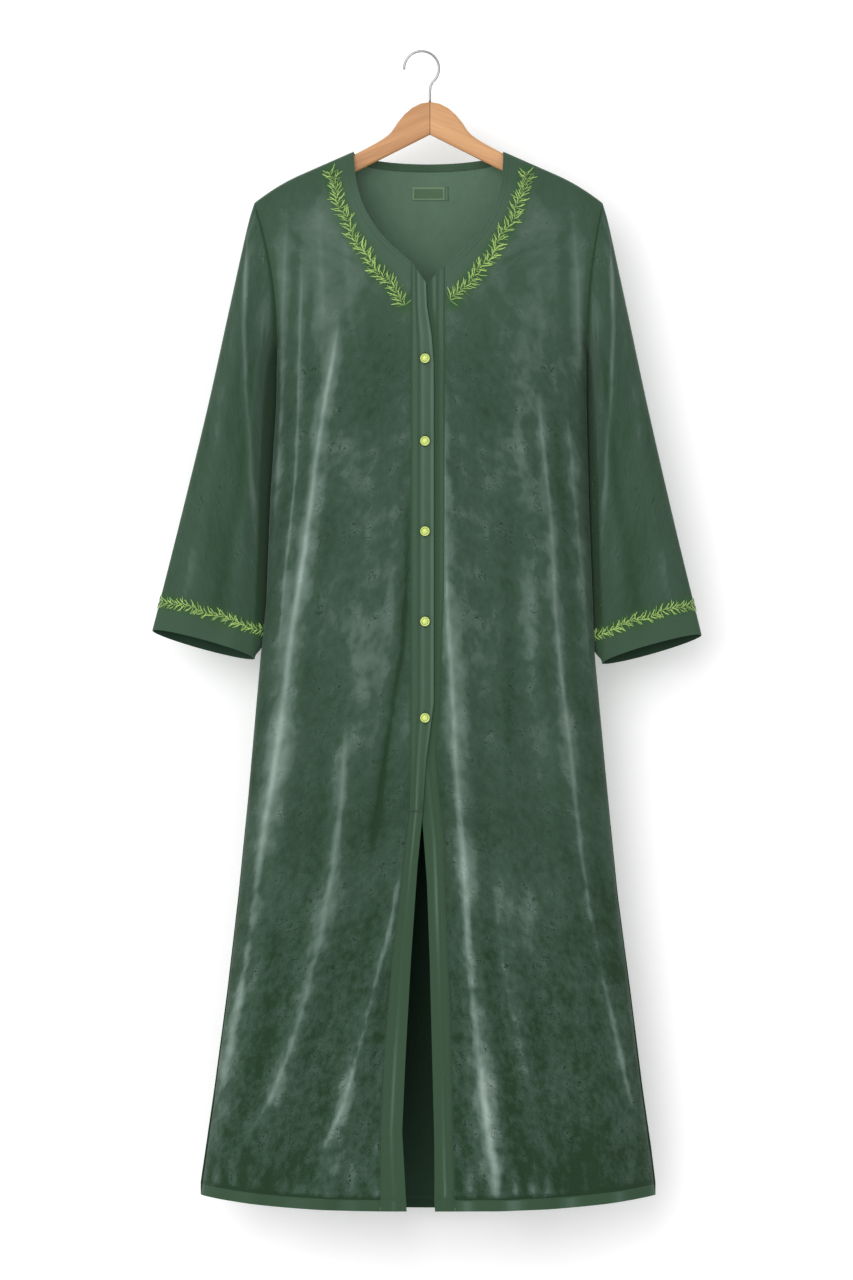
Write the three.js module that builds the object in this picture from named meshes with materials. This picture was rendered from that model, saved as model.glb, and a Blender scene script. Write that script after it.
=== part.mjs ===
// Long velvet abaya on a flat wooden hanger.
// Millimetres, +Z up, +X to the viewer's right, the front faces -Y.
// The origin is the inside of the hook's crown, where a rail carries the hanger.
// Wearer's right is the viewer's left (-X).

import * as THREE from 'three';

// ---------- driving dimensions ----------

const WALL = 1.5;                 // velvet with its pile
const SEAM_GAP = 0.3;             // between two pieces that are sewn together
const STEM_X = 2;                 // hanger's centre, from the garment's centre
const HOOK_OFFSET = 11.1;         // hook's circle centre, left of its stem
const HOOK_RADIUS = 23;           // centre line of the wire
const WIRE = 3.2;                 // diameter
const CROWN_TO_CENTRE = HOOK_RADIUS - WIRE / 2;
const GARMENT_X = HOOK_OFFSET - STEM_X;

const NECK_HALF = 99;             // high point of the shoulder, half width across
const NECK_Z = -131;
const BACK_NECK_DROP = 16;
const SHOULDER_X = 230;
const SHOULDER_SLOPE = 0.44;
const SHOULDER_BEND_X = 170;      // beyond it the shoulder falls off more steeply
const SHOULDER_BEND = 0.0029;
const HANGER_CLEAR = 8.5;         // half depth of the cloth over the hanger's edge
const HANGER_ROUND = 5;
const YOKE_FALL = 160;            // height over which the chest fills out

const CHEST_Z = -387;             // underarm level
const SIDE_POWER = 2.4;           // roundness of a section
const YOKE_SPREAD = 0.35;         // how fast the full section widens above the underarm
const ARMHOLE_POWER = 2.2;

const HEM_Z = -1529;              // at the centre front
const HEM_RISE = 20;              // at the side seams
const HEM_HALF = 301;
const HEM_BAND = 15;              // turned-up hem
const HEM_STEP = 2;
const HEM_RAISE = 0.6;

const LAP_LIFT = 1.5;             // each front's share of the overlap's spacing
const LAP_FULL = 30;              // the lift is whole up to here from the centre
const LAP_END = 95;               // and gone from here on

const CUFF_TILT = 6;              // the cuff's front edge rides up, its back edge hangs down
const CUFF_FROM = 0.6;            // share of the sleeve's length where that starts
const HEAD_SHARE = 0.45;          // share of the length over which the armhole's form fades
const SLEEVE_ARCH = 0.8;          // flatness of a sleeve's section

const WOOD_TOP = -65.5;
const WOOD_HALF = 211;
const WOOD_THICK = 12;
const WOOD_BEVEL = 3.5;
const TIP_RADIUS = 9;
const HANGER_SEAT = 2.8;          // the wood's top edge, under the shoulder's outer line
const HOOK_STEPS = 10;
const HOOK_FROM = -50;            // degrees at which the rising wire meets the hook's circle
const HOOK_TO = 180;
const STEM_ROUTE = [[0, WOOD_TOP + SEAM_GAP], [0, -58], [0, -51], [0.9, -44.5]];
// Upper edge of the wood from its middle to the arm, as cubic curves, then along the arm.
const WOOD_DOME = [[0, WOOD_TOP], [22, WOOD_TOP], [38, -84], [50, -104]];
const WOOD_NECK = [[50, -104], [56, -112], [70, -120]];
const WOOD_ARM_X = [98, 130, 160, 180, 192];
const WOOD_UNDER = [96, -157];    // lower edge where the arm begins
const WOOD_NOTCH = -109;          // lower edge at the middle
const TIP_START = 0.42;           // half turns at which the rounded tip begins
const BEVEL_SHRINK = 0.5;         // how far the bevel keeps inside the outline
const BUTTON_DIAMETER = 13;
const BUTTON_HEIGHT = 5;
const BUTTON_X = -4.6;
const BUTTON_Z = [-405, -514, -633, -752, -879];

// Half widths and half depth of the body below the underarm.
const SECTIONS = [
  { z: -387, right: 200, left: 209, depth: 46 },
  { z: -465, right: 201, left: 209, depth: 47 },
  { z: -591, right: 209, left: 212, depth: 48 },
  { z: -723, right: 214, left: 217, depth: 50 },
  { z: -803, right: 222, left: 220, depth: 52 },
  { z: -987, right: 238, left: 237, depth: 56 },
  { z: -1119, right: 251, left: 250, depth: 59 },
  { z: -1251, right: 266, left: 267, depth: 63 },
  { z: -1383, right: 283, left: 283, depth: 68 },
  { z: -1462, right: 294, left: 294, depth: 71 },
  { z: -1512, right: 301, left: 300, depth: 73 },
];

// Centre-front lines: the seam that joins a band to its front, and the band's free edge.
const RIGHT_EDGE = [
  { z: -277, seam: -23, edge: -4.6 },
  { z: -337, seam: -23, edge: -2 },
  { z: -376, seam: -23, edge: 4.2 },
  { z: -412, seam: -23, edge: 7 },
  { z: -860, seam: -23.5, edge: 7 },
  { z: -935, seam: -24, edge: -2.9 },
  { z: -1002, seam: -25, edge: -7.5 },
  { z: -1074, seam: -33, edge: -14.5 },
  { z: -1196, seam: -48, edge: -23 },
  { z: -1320, seam: -58, edge: -30 },
  { z: -1424, seam: -63, edge: -34.7 },
  { z: -1530, seam: -63.5, edge: -28.6 },
];
const LEFT_EDGE = [
  { z: -282, seam: 22, edge: -7 },
  { z: -700, seam: 21, edge: -8.6 },
  { z: -860, seam: 15, edge: -13 },
  { z: -927, seam: 9.5, edge: -18 },
  { z: -1003, seam: 16.5, edge: -9 },
  { z: -1041, seam: 21, edge: -6 },
  { z: -1096, seam: 22, edge: -2 },
  { z: -1197, seam: 26, edge: 1.6 },
  { z: -1313, seam: 30, edge: 4.5 },
  { z: -1431, seam: 32, edge: 7.5 },
  { z: -1530, seam: 35, edge: 8.4 },
];

// Front necklines from the shoulder to the band, as cubic curves in front view.
const RIGHT_NECK = [[-NECK_HALF, NECK_Z], [-99, -190], [-80, -235], [-23, -277]];
const LEFT_NECK = [[NECK_HALF, NECK_Z], [99, -195], [82, -235], [22, -282]];
const BAND_TOP = { right: -305, left: -312 };

// Vertical folds: the crest's x at its top, middle and end, its spread and its height.
const FRONT_FOLDS = [
  { top: -250, end: -860, x0: -166, x1: -176, x2: -205, spread: 17, height: 5 },
  { top: -330, end: -1560, x0: -118, x1: -190, x2: -292, spread: 24, height: 11 },
  { top: -860, end: -1560, x0: -106, x1: -150, x2: -252, spread: 20, height: 8 },
  { top: -1090, end: -1560, x0: -50, x1: -92, x2: -150, spread: 17, height: 7 },
  { top: -600, end: -1100, x0: -66, x1: -80, x2: -100, spread: 18, height: 4 },
  { top: -420, end: -1560, x0: 34, x1: 52, x2: 100, spread: 19, height: 10 },
  { top: -820, end: -1560, x0: 96, x1: 112, x2: 160, spread: 22, height: 7 },
  { top: -400, end: -1560, x0: 142, x1: 178, x2: 250, spread: 22, height: 9 },
  { top: -420, end: -900, x0: 176, x1: 196, x2: 206, spread: 14, height: 4 },
];
const BACK_FOLDS = [
  { top: -330, end: -1560, x0: -150, x1: -176, x2: -244, spread: 24, height: 10 },
  { top: -520, end: -1560, x0: -84, x1: -104, x2: -150, spread: 23, height: 9 },
  { top: -420, end: -1560, x0: -14, x1: -22, x2: -46, spread: 26, height: 8 },
  { top: -640, end: -1560, x0: 42, x1: 48, x2: 66, spread: 21, height: 8 },
  { top: -380, end: -1560, x0: 92, x1: 118, x2: 166, spread: 24, height: 10 },
  { top: -700, end: -1560, x0: 164, x1: 196, x2: 256, spread: 20, height: 8 },
];

// Sleeve rings below the armhole: outer and inner edge in front view, and half depth.
const RIGHT_SLEEVE = [
  { outerX: -230, outerZ: -199, innerX: -200, innerZ: -387, depth: 24 },
  { outerX: -237, outerZ: -222, innerX: -207, innerZ: -399, depth: 25 },
  { outerX: -247, outerZ: -265, innerX: -212, innerZ: -420, depth: 26 },
  { outerX: -266, outerZ: -352, innerX: -216, innerZ: -475, depth: 26 },
  { outerX: -293, outerZ: -474, innerX: -218.3, innerZ: -560, depth: 24 },
  { outerX: -329, outerZ: -622, innerX: -220.5, innerZ: -675, depth: 20 },
  { outerX: -356, outerZ: -729, innerX: -223.5, innerZ: -768, depth: 16 },
  { outerX: -365, outerZ: -764, innerX: -229.5, innerZ: -801, depth: 15 },
];
const LEFT_SLEEVE = [
  { outerX: 230, outerZ: -199, innerX: 209, innerZ: -387, depth: 24 },
  { outerX: 237, outerZ: -223, innerX: 213.5, innerZ: -401, depth: 25 },
  { outerX: 247, outerZ: -268, innerX: 216, innerZ: -424, depth: 26 },
  { outerX: 265, outerZ: -352, innerX: 218, innerZ: -480, depth: 26 },
  { outerX: 291, outerZ: -474, innerX: 219.5, innerZ: -564, depth: 24 },
  { outerX: 325, outerZ: -622, innerX: 221.5, innerZ: -682, depth: 20 },
  { outerX: 352, outerZ: -733, innerX: 224, innerZ: -774, depth: 16 },
  { outerX: 361, outerZ: -770, innerX: 229, innerZ: -807, depth: 15 },
];
// Folds along a sleeve: place across it (0 outer edge, 1 inner edge), spread and height.
const SLEEVE_FOLDS = [
  { place: 0.76, spread: 0.1, height: 3.5 },
  { place: 0.3, spread: 0.13, height: 3 },
];

// ---------- mesh density ----------

const YOKE_ROWS = [0, 0.008, 0.027, 0.07, 0.15, 0.27, 0.42, 0.6, 0.73, 0.86, 1];
const NECK_ROW = 7;               // the row of YOKE_ROWS where the neckline meets the band
const BODY_ROWS = 15;
const FRONT_COLUMNS = 14;
const SHOULDER_COLUMNS = 7;
const NECK_X = [99, 98, 94, 84, 66, 44, 22, 0];
const BAND_COLUMNS = 2;
const SLEEVE_RINGS = 13;
// Places of the small inner pieces on the back's grid, in rows and columns.
const BINDING_ROWS = [0, 1, 2, 2.29];
const BINDING_FROM = 9;
const LABEL_ROWS = [3.63, 4, 4.4];
const LABEL_COLUMNS = [13, 14, 15];
const COLUMN_CROWDING = 1.25;     // columns lie closer together at the side seams

// ---------- small helpers ----------

const lerp = THREE.MathUtils.lerp;
const clamp = THREE.MathUtils.clamp;

function tableValue(rows, key, value, column) {
  const descending = rows[0][key] > rows[rows.length - 1][key];
  const last = rows.length - 1;
  let i = 0;
  while (i < last - 1 && (descending ? value < rows[i + 1][key] : value > rows[i + 1][key])) {
    i += 1;
  }
  const share = (value - rows[i][key]) / (rows[i + 1][key] - rows[i][key]);
  return lerp(rows[i][column], rows[i + 1][column], clamp(share, 0, 1));
}

function bezier(points, t) {
  const weights = [(1 - t) ** 3, 3 * t * (1 - t) ** 2, 3 * t * t * (1 - t), t ** 3];
  return [0, 1].map((axis) => points.reduce((sum, p, i) => sum + p[axis] * weights[i], 0));
}

// ---------- the garment's outer surface ----------

function shoulderZ(x) {
  const bend = Math.max(0, Math.abs(x) - SHOULDER_BEND_X);
  return NECK_Z - SHOULDER_SLOPE * (Math.abs(x) - NECK_HALF) - SHOULDER_BEND * bend * bend;
}

function halfWidth(x, z) {
  const column = x < 0 ? 'right' : 'left';
  return tableValue(SECTIONS, 'z', z, column) + YOKE_SPREAD * Math.max(0, z - CHEST_Z);
}

// Half depth of the hollow body, with the cloth bent over the hanger at the shoulder line.
function bodyDepth(x, z) {
  const across = Math.min(1, Math.abs(x) / halfWidth(x, z));
  const full = tableValue(SECTIONS, 'z', z, 'depth') * Math.sqrt(1 - across ** SIDE_POWER);
  const below = Math.max(0, shoulderZ(x) - z);
  const round = Math.sqrt(1 - (1 - Math.min(1, below / HANGER_ROUND)) ** 2);
  const fall = 1 - (1 - Math.min(1, below / YOKE_FALL)) ** 2;
  return HANGER_CLEAR * round + (full - HANGER_CLEAR) * fall;
}

function crestX(fold, share) {
  const a = fold.x0 * (1 - share) * (1 - 2 * share);
  const b = fold.x1 * 4 * share * (1 - share);
  const c = fold.x2 * share * (2 * share - 1);
  return a + b + c;
}

function foldHeight(folds, x, z) {
  const edge = Math.sqrt(Math.max(0, 1 - (Math.abs(x) / halfWidth(x, z)) ** 4));
  let height = 0;
  for (const fold of folds) {
    const share = (z - fold.top) / (fold.end - fold.top);
    if (share > 0 && share < 1) {
      const distance = (x - crestX(fold, share)) / fold.spread;
      const swell = Math.min(1, share * 3) * (fold.end < HEM_Z ? 1 : Math.min(1, (1 - share) * 3));
      height += fold.height * swell * Math.exp(-distance * distance);
    }
  }
  return height * edge;
}

// The right front laps over the left one; each is moved by its share near the centre.
function lapLift(x) {
  return LAP_LIFT * THREE.MathUtils.smoothstep(-Math.abs(x), -LAP_END, -LAP_FULL);
}

function frontPoint(x, z, lap) {
  const depth = bodyDepth(x, z) + foldHeight(FRONT_FOLDS, x, z) + lap * lapLift(x);
  return new THREE.Vector3(x, -Math.max(0, depth) - SEAM_GAP / 2, z);
}

function backPoint(x, z) {
  const depth = bodyDepth(x, z) + foldHeight(BACK_FOLDS, x, z);
  return new THREE.Vector3(x, Math.max(0, depth) + SEAM_GAP / 2, z);
}

function hemZ(x) {
  return HEM_Z + HEM_RISE * Math.min(1, Math.abs(x) / HEM_HALF) ** 3;
}

function armhole(side, v) {
  const underarm = tableValue(SECTIONS, 'z', CHEST_Z, side < 0 ? 'right' : 'left');
  const x = underarm + (SHOULDER_X - underarm) * (1 - v) ** ARMHOLE_POWER;
  return [side * x, lerp(shoulderZ(SHOULDER_X), CHEST_Z, v)];
}

function crowd(t) {
  return t ** COLUMN_CROWDING;
}

// A patch between four curves in front view: top and bottom by u, sides by v.
function patch(top, bottom, start, end, u, v) {
  return [0, 1].map((axis) => {
    const rows = (1 - v) * top(u)[axis] + v * bottom(u)[axis];
    const columns = (1 - u) * start(v)[axis] + u * end(v)[axis];
    const near = (1 - v) * start(0)[axis] + v * start(1)[axis];
    const far = (1 - v) * end(0)[axis] + v * end(1)[axis];
    return rows + columns - (1 - u) * near - u * far;
  });
}

// Heights of the rows from the underarm to the hem, the last two at the turned-up hem.
function bodyRowZ(row, x) {
  const hem = hemZ(x);
  const stitch = hem + HEM_BAND + HEM_STEP;
  if (row > BODY_ROWS) {
    return row === BODY_ROWS + 1 ? hem + HEM_BAND : hem;
  }
  return lerp(CHEST_Z, stitch, row / BODY_ROWS);
}

function frontRows(side, neck, edges) {
  const lap = -side;
  const neckEnd = YOKE_ROWS[NECK_ROW];
  const centre = (z) => tableValue(edges, 'z', z, 'seam');
  const underarm = armhole(side, 1)[0];
  const shoulder = (u) => {
    const x = lerp(SHOULDER_X, NECK_HALF, u);
    return [side * x, shoulderZ(x)];
  };
  const chest = (u) => [lerp(underarm, centre(CHEST_Z), crowd(u)), CHEST_Z];
  const inner = (v) => {
    if (v <= neckEnd) {
      return bezier(neck, v / neckEnd);
    }
    const z = lerp(neck[3][1], CHEST_Z, (v - neckEnd) / (1 - neckEnd));
    return [centre(z), z];
  };
  const rows = YOKE_ROWS.map((v) => {
    const row = [];
    for (let i = 0; i <= FRONT_COLUMNS; i += 1) {
      const [x, z] = patch(shoulder, chest, (s) => armhole(side, s), inner, i / FRONT_COLUMNS, v);
      row.push(frontPoint(x, z, lap));
    }
    return row;
  });
  for (let k = 1; k <= BODY_ROWS + 2; k += 1) {
    const row = [];
    for (let i = 0; i <= FRONT_COLUMNS; i += 1) {
      const level = bodyRowZ(k, 0);
      const span = lerp(side * halfWidth(side, level), centre(level), crowd(i / FRONT_COLUMNS));
      row.push(frontPoint(span, bodyRowZ(k, span), lap));
    }
    rows.push(row);
  }
  return rows;
}

// The band starts where the neckline meets its seam; its own top edge ends lower down.
function bandRows(side, edges, topZ, front) {
  const rows = front.slice(NECK_ROW);
  const seamTop = rows[0][FRONT_COLUMNS].z;
  return rows.map((line) => {
    const seam = line[FRONT_COLUMNS];
    const share = clamp((seam.z - CHEST_Z) / (seamTop - CHEST_Z), 0, 1);
    const edgeZ = seam.z > CHEST_Z ? lerp(CHEST_Z, topZ, share) : seam.z;
    const edgeX = tableValue(edges, 'z', edgeZ, 'edge');
    const row = [seam.clone()];
    for (let i = 1; i <= BAND_COLUMNS; i += 1) {
      const x = lerp(seam.x, edgeX, i / BAND_COLUMNS);
      const z = lerp(seam.z, edgeZ, i / BAND_COLUMNS);
      row.push(frontPoint(x, z, -side));
    }
    return row;
  });
}

function backNeckZ(x) {
  return NECK_Z - BACK_NECK_DROP * Math.sqrt(Math.max(0, 1 - (x / NECK_HALF) ** 2));
}

function backTopLine() {
  const rightShoulder = [];
  for (let i = 0; i < SHOULDER_COLUMNS; i += 1) {
    const x = lerp(SHOULDER_X, NECK_HALF, i / SHOULDER_COLUMNS);
    rightShoulder.push([-x, shoulderZ(x)]);
  }
  const rightNeck = NECK_X.slice(0, -1).map((x) => [-x, backNeckZ(x)]);
  const half = rightShoulder.concat(rightNeck);
  const mirrored = half.map(([x, z]) => [-x, z]).reverse();
  return half.concat([[0, backNeckZ(0)]], mirrored);
}

function backRows() {
  const line = backTopLine();
  const columns = line.length - 1;
  const place = (u) => Math.sign(2 * u - 1) * (1 - crowd(1 - Math.abs(2 * u - 1)));
  const top = (u) => line[Math.round(u * columns)];
  const chest = (u) => [place(u) * Math.abs(armhole(Math.sign(u - 0.5), 1)[0]), CHEST_Z];
  const rows = YOKE_ROWS.map((v) => line.map((_, i) => {
    const ends = [(s) => armhole(-1, s), (s) => armhole(1, s)];
    const [x, z] = patch(top, chest, ends[0], ends[1], i / columns, v);
    return backPoint(x, z);
  }));
  for (let k = 1; k <= BODY_ROWS + 2; k += 1) {
    rows.push(line.map((_, i) => {
      const share = place(i / columns);
      const x = share * halfWidth(share, bodyRowZ(k, 0));
      return backPoint(x, bodyRowZ(k, x));
    }));
  }
  return rows;
}

// ---------- sleeves ----------

function sleeveEdge(table, at) {
  const last = table.length - 1;
  const i = Math.min(last - 1, Math.floor(at));
  const rows = [Math.max(0, i - 1), i, i + 1, Math.min(last, i + 2)].map((k) => table[k]);
  const t = at - i;
  const value = (column) => {
    const [a, b, c, d] = rows.map((row) => row[column]);
    const bend = 2 * a - 5 * b + 4 * c - d;
    const twist = 3 * (b - c) + d - a;
    return 0.5 * (2 * b + (c - a) * t + bend * t * t + twist * t * t * t);
  };
  return { x0: value('outerX'), z0: value('outerZ'), x1: value('innerX'), z1: value('innerZ'),
    depth: value('depth') };
}

function sleevePoint(edge, share, face, cuff) {
  const round = 2 * Math.sqrt(Math.max(0, share * (1 - share)));
  let depth = edge.depth * round ** SLEEVE_ARCH;
  for (const fold of SLEEVE_FOLDS) {
    const place = face < 0 ? fold.place : 1 - fold.place;
    depth += fold.height * round * Math.exp(-(((share - place) / fold.spread) ** 2));
  }
  const tilt = -face * CUFF_TILT * cuff * round;
  return new THREE.Vector3(lerp(edge.x0, edge.x1, share), face * depth,
    lerp(edge.z0, edge.z1, share) + tilt);
}

// A ring runs from the outer edge down the front to the inner edge and back up behind.
function sleeveRows(side, table) {
  const half = YOKE_ROWS.length - 1;
  const rings = [];
  for (let k = 0; k <= SLEEVE_RINGS; k += 1) {
    const along = k / SLEEVE_RINGS;
    const edge = sleeveEdge(table, along * (table.length - 1));
    const settle = THREE.MathUtils.smoothstep(along, 0, HEAD_SHARE);
    const cuff = THREE.MathUtils.smoothstep(along, CUFF_FROM, 1);
    const ring = [];
    for (let i = 0; i < 2 * half; i += 1) {
      const row = i <= half ? i : 2 * half - i;
      const face = i <= half ? -1 : 1;
      const even = (1 - Math.cos(Math.PI * row / half)) / 2;
      const share = lerp(YOKE_ROWS[row], even, settle);
      const point = sleevePoint(edge, share, face, cuff);
      const [x, z] = armhole(side, YOKE_ROWS[row]);
      const rooted = new THREE.Vector3(x, face * Math.max(0, bodyDepth(x, z)), z);
      const first = sleevePoint(sleeveEdge(table, 0), YOKE_ROWS[row], face, 0);
      point.add(rooted.sub(first).multiplyScalar(1 - settle));
      ring.push(point);
    }
    rings.push(ring);
  }
  return rings;
}

// ---------- from a grid of outer points to a closed cloth wall ----------

function gridNormals(rows, closed, inside) {
  const last = rows.length - 1;
  const width = rows[0].length;
  const normals = rows.map((row, i) => row.map((_, j) => {
    const above = rows[Math.max(0, i - 1)][j];
    const below = rows[Math.min(last, i + 1)][j];
    const before = closed ? row[(j + width - 1) % width] : row[Math.max(0, j - 1)];
    const after = closed ? row[(j + 1) % width] : row[Math.min(width - 1, j + 1)];
    const down = below.clone().sub(above);
    return down.cross(after.clone().sub(before)).normalize();
  }));
  const i = Math.floor(last / 2);
  const j = closed ? 0 : Math.floor(width / 2);
  const outward = Math.sign(normals[i][j].dot(rows[i][j].clone().sub(inside(rows[i]))));
  normals.forEach((row) => row.forEach((n) => n.multiplyScalar(outward)));
  return normals;
}

function makePanel(name, rows, closed) {
  const axis = closed
    ? (row) => row.reduce((sum, p) => sum.add(p), new THREE.Vector3()).divideScalar(row.length)
    : (row) => new THREE.Vector3(0, 0, row[0].z);
  return { name, rows, closed, normals: gridNormals(rows, closed, axis) };
}

// Front and back meet in the plane y = 0, so their shared normals lie in it.
function flattenNormals(normals) {
  normals.forEach((n) => n.setY(0).normalize());
}

// Two panels that share a seam get one normal there, so their walls meet on a mitre.
function mitre(a, b) {
  a.forEach((n, i) => {
    n.add(b[i]).normalize();
    b[i].copy(n);
  });
}

// Draws a panel's edge back from a seam by half the gap, square to the mitre.
function drawBack(panel, seam) {
  seam.forEach(({ row, column, next }, i) => {
    const before = seam[Math.max(0, i - 1)];
    const after = seam[Math.min(seam.length - 1, i + 1)];
    const along = panel.rows[after.row][after.column].clone()
      .sub(panel.rows[before.row][before.column]).normalize();
    const point = panel.rows[row][column];
    const across = along.cross(panel.normals[row][column]).normalize();
    const inward = panel.rows[next.row][next.column].clone().sub(point);
    across.multiplyScalar(Math.sign(across.dot(inward)) * SEAM_GAP / 2);
    panel.shifts.push({ row, column, across });
  });
}

function wallGeometry(panel) {
  const { rows, normals, closed, thickness = WALL, raise = () => 0 } = panel;
  const height = rows.length;
  const width = rows[0].length;
  const positions = [];
  const outer = rows.map((row, i) => row.map((p, j) =>
    p.clone().addScaledVector(normals[i][j], raise(i, j))));
  const inner = rows.map((row, i) => row.map((p, j) =>
    p.clone().addScaledVector(normals[i][j], -thickness)));
  for (const layer of [outer, inner]) {
    layer.forEach((row) => row.forEach((p) => positions.push(p.x, p.y, p.z)));
  }
  const out = (i, j) => i * width + (j % width);
  const back = (i, j) => height * width + out(i, j);
  const index = [];
  const quad = (a, b, c, d) => index.push(a, b, c, a, c, d);
  const spans = closed ? width : width - 1;
  for (let i = 0; i < height - 1; i += 1) {
    for (let j = 0; j < spans; j += 1) {
      quad(out(i, j), out(i + 1, j), out(i + 1, j + 1), out(i, j + 1));
      quad(back(i, j), back(i, j + 1), back(i + 1, j + 1), back(i + 1, j));
    }
  }
  for (let j = 0; j < spans; j += 1) {
    quad(out(0, j), out(0, j + 1), back(0, j + 1), back(0, j));
    quad(out(height - 1, j + 1), out(height - 1, j), back(height - 1, j), back(height - 1, j + 1));
  }
  for (let i = 0; i < height - 1 && !closed; i += 1) {
    quad(out(i + 1, 0), out(i, 0), back(i, 0), back(i + 1, 0));
    quad(out(i, width - 1), out(i + 1, width - 1), back(i + 1, width - 1), back(i, width - 1));
  }
  return closedGeometry(positions, index);
}

function closedGeometry(positions, index) {
  const geometry = new THREE.BufferGeometry();
  geometry.setAttribute('position', new THREE.Float32BufferAttribute(positions, 3));
  const a = new THREE.Vector3();
  const b = new THREE.Vector3();
  const c = new THREE.Vector3();
  let volume = 0;
  for (let i = 0; i < index.length; i += 3) {
    a.fromArray(positions, 3 * index[i]);
    b.fromArray(positions, 3 * index[i + 1]);
    c.fromArray(positions, 3 * index[i + 2]);
    volume += a.dot(b.cross(c));
  }
  geometry.setIndex(volume < 0 ? index.slice().reverse() : index);
  geometry.computeVertexNormals();
  return geometry;
}

// ---------- materials ----------

const material = (name, colour, roughness, metalness = 0) =>
  new THREE.MeshStandardMaterial({ name, color: colour, roughness, metalness });
const velvet = () => material('velvet', 0x3e5446, 0.85);
const facing = () => material('facing', 0x46624c, 0.8);
const pearl = () => material('pearl', 0xcde16e, 0.3);
const wood = () => material('wood', 0xdea870, 0.45);
const steel = () => material('steel', 0x969698, 0.3, 1);

function addMesh(group, name, geometry, surface) {
  const mesh = new THREE.Mesh(geometry, surface);
  mesh.name = name;
  group.add(mesh);
  return mesh;
}

// ---------- the garment ----------

function seamLine(rows, column, next, from = 0) {
  const line = [];
  for (let row = from; row < rows; row += 1) {
    line.push({ row, column, next: { row, column: next } });
  }
  return line;
}

function bodyPanels() {
  const panels = {
    frontRight: makePanel('front_right', frontRows(-1, RIGHT_NECK, RIGHT_EDGE), false),
    frontLeft: makePanel('front_left', frontRows(1, LEFT_NECK, LEFT_EDGE), false),
    back: makePanel('back', backRows(), false),
    sleeveRight: makePanel('sleeve_right', sleeveRows(-1, RIGHT_SLEEVE), true),
    sleeveLeft: makePanel('sleeve_left', sleeveRows(1, LEFT_SLEEVE), true),
  };
  const { frontRight, frontLeft } = panels;
  panels.bandRight = makePanel('band_right',
    bandRows(-1, RIGHT_EDGE, BAND_TOP.right, frontRight.rows), false);
  panels.bandLeft = makePanel('band_left',
    bandRows(1, LEFT_EDGE, BAND_TOP.left, frontLeft.rows), false);
  Object.values(panels).forEach((panel) => {
    panel.shifts = [];
  });
  return panels;
}

function joinArmhole(front, back, backColumn, sleeve) {
  const half = YOKE_ROWS.length - 1;
  const backNext = backColumn === 0 ? 1 : backColumn - 1;
  for (let i = 0; i <= half; i += 1) {
    const shared = [front.normals[i][0], back.normals[i][backColumn]];
    const ring = [sleeve.normals[0][i], sleeve.normals[0][(2 * half - i) % (2 * half)]];
    mitre([shared[0]], [ring[0]]);
    if (i > 0 && i < half) {
      mitre([shared[1]], [ring[1]]);
    } else {
      flattenNormals([shared[0]]);
      ring[0].copy(shared[0]);
      shared[1].copy(shared[0]);
    }
  }
  drawBack(front, seamLine(half + 1, 0, 1));
  drawBack(back, seamLine(half + 1, backColumn, backNext));
  const loop = sleeve.rows[0].map((_, column) =>
    ({ row: 0, column, next: { row: 1, column } }));
  drawBack(sleeve, loop);
}

function joinBand(front, band) {
  const length = band.rows.length;
  const seam = (panel, column, from) =>
    panel.normals.slice(from).map((row) => row[column]);
  mitre(seam(front, FRONT_COLUMNS, NECK_ROW), seam(band, 0, 0));
  drawBack(front, seamLine(front.rows.length, FRONT_COLUMNS, FRONT_COLUMNS - 1, NECK_ROW));
  drawBack(band, seamLine(length, 0, 1));
}

function joinFrontAndBack({ frontRight, frontLeft, back }) {
  const underarm = YOKE_ROWS.length;
  const lastColumn = back.rows[0].length - 1;
  for (const front of [frontRight, frontLeft]) {
    flattenNormals(front.normals[0]);
    flattenNormals(front.normals.slice(underarm).map((row) => row[0]));
  }
  flattenNormals(back.normals[0].slice(0, SHOULDER_COLUMNS + 1));
  flattenNormals(back.normals[0].slice(lastColumn - SHOULDER_COLUMNS));
  flattenNormals(back.normals.slice(underarm).map((row) => row[0]));
  flattenNormals(back.normals.slice(underarm).map((row) => row[lastColumn]));
}

function addBody(group) {
  const panels = bodyPanels();
  const { frontRight, frontLeft, back, sleeveRight, sleeveLeft, bandRight, bandLeft } = panels;
  joinFrontAndBack(panels);
  joinArmhole(frontRight, back, 0, sleeveRight);
  joinArmhole(frontLeft, back, back.rows[0].length - 1, sleeveLeft);
  joinBand(frontRight, bandRight);
  joinBand(frontLeft, bandLeft);
  for (const panel of Object.values(panels)) {
    for (const { row, column, across } of panel.shifts) {
      panel.rows[row][column].add(across);
    }
    if (!panel.closed) {
      const last = panel.rows.length - 1;
      panel.raise = (row) => (row >= last - 1 ? HEM_RAISE : 0);
    }
    const surface = panel.name.startsWith('band') ? facing() : velvet();
    addMesh(group, panel.name, wallGeometry(panel), surface);
  }
  return panels;
}

// ---------- pieces on the garment ----------

// A point of the wall's grid between its rows and columns, with its normal.
function gridValue(grid, row, column) {
  const i = Math.min(grid.length - 2, Math.floor(row));
  const j = Math.min(grid[0].length - 2, Math.floor(column));
  const upper = grid[i][j].clone().lerp(grid[i][j + 1], column - j);
  const lower = grid[i + 1][j].clone().lerp(grid[i + 1][j + 1], column - j);
  return upper.lerp(lower, row - i);
}

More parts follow.
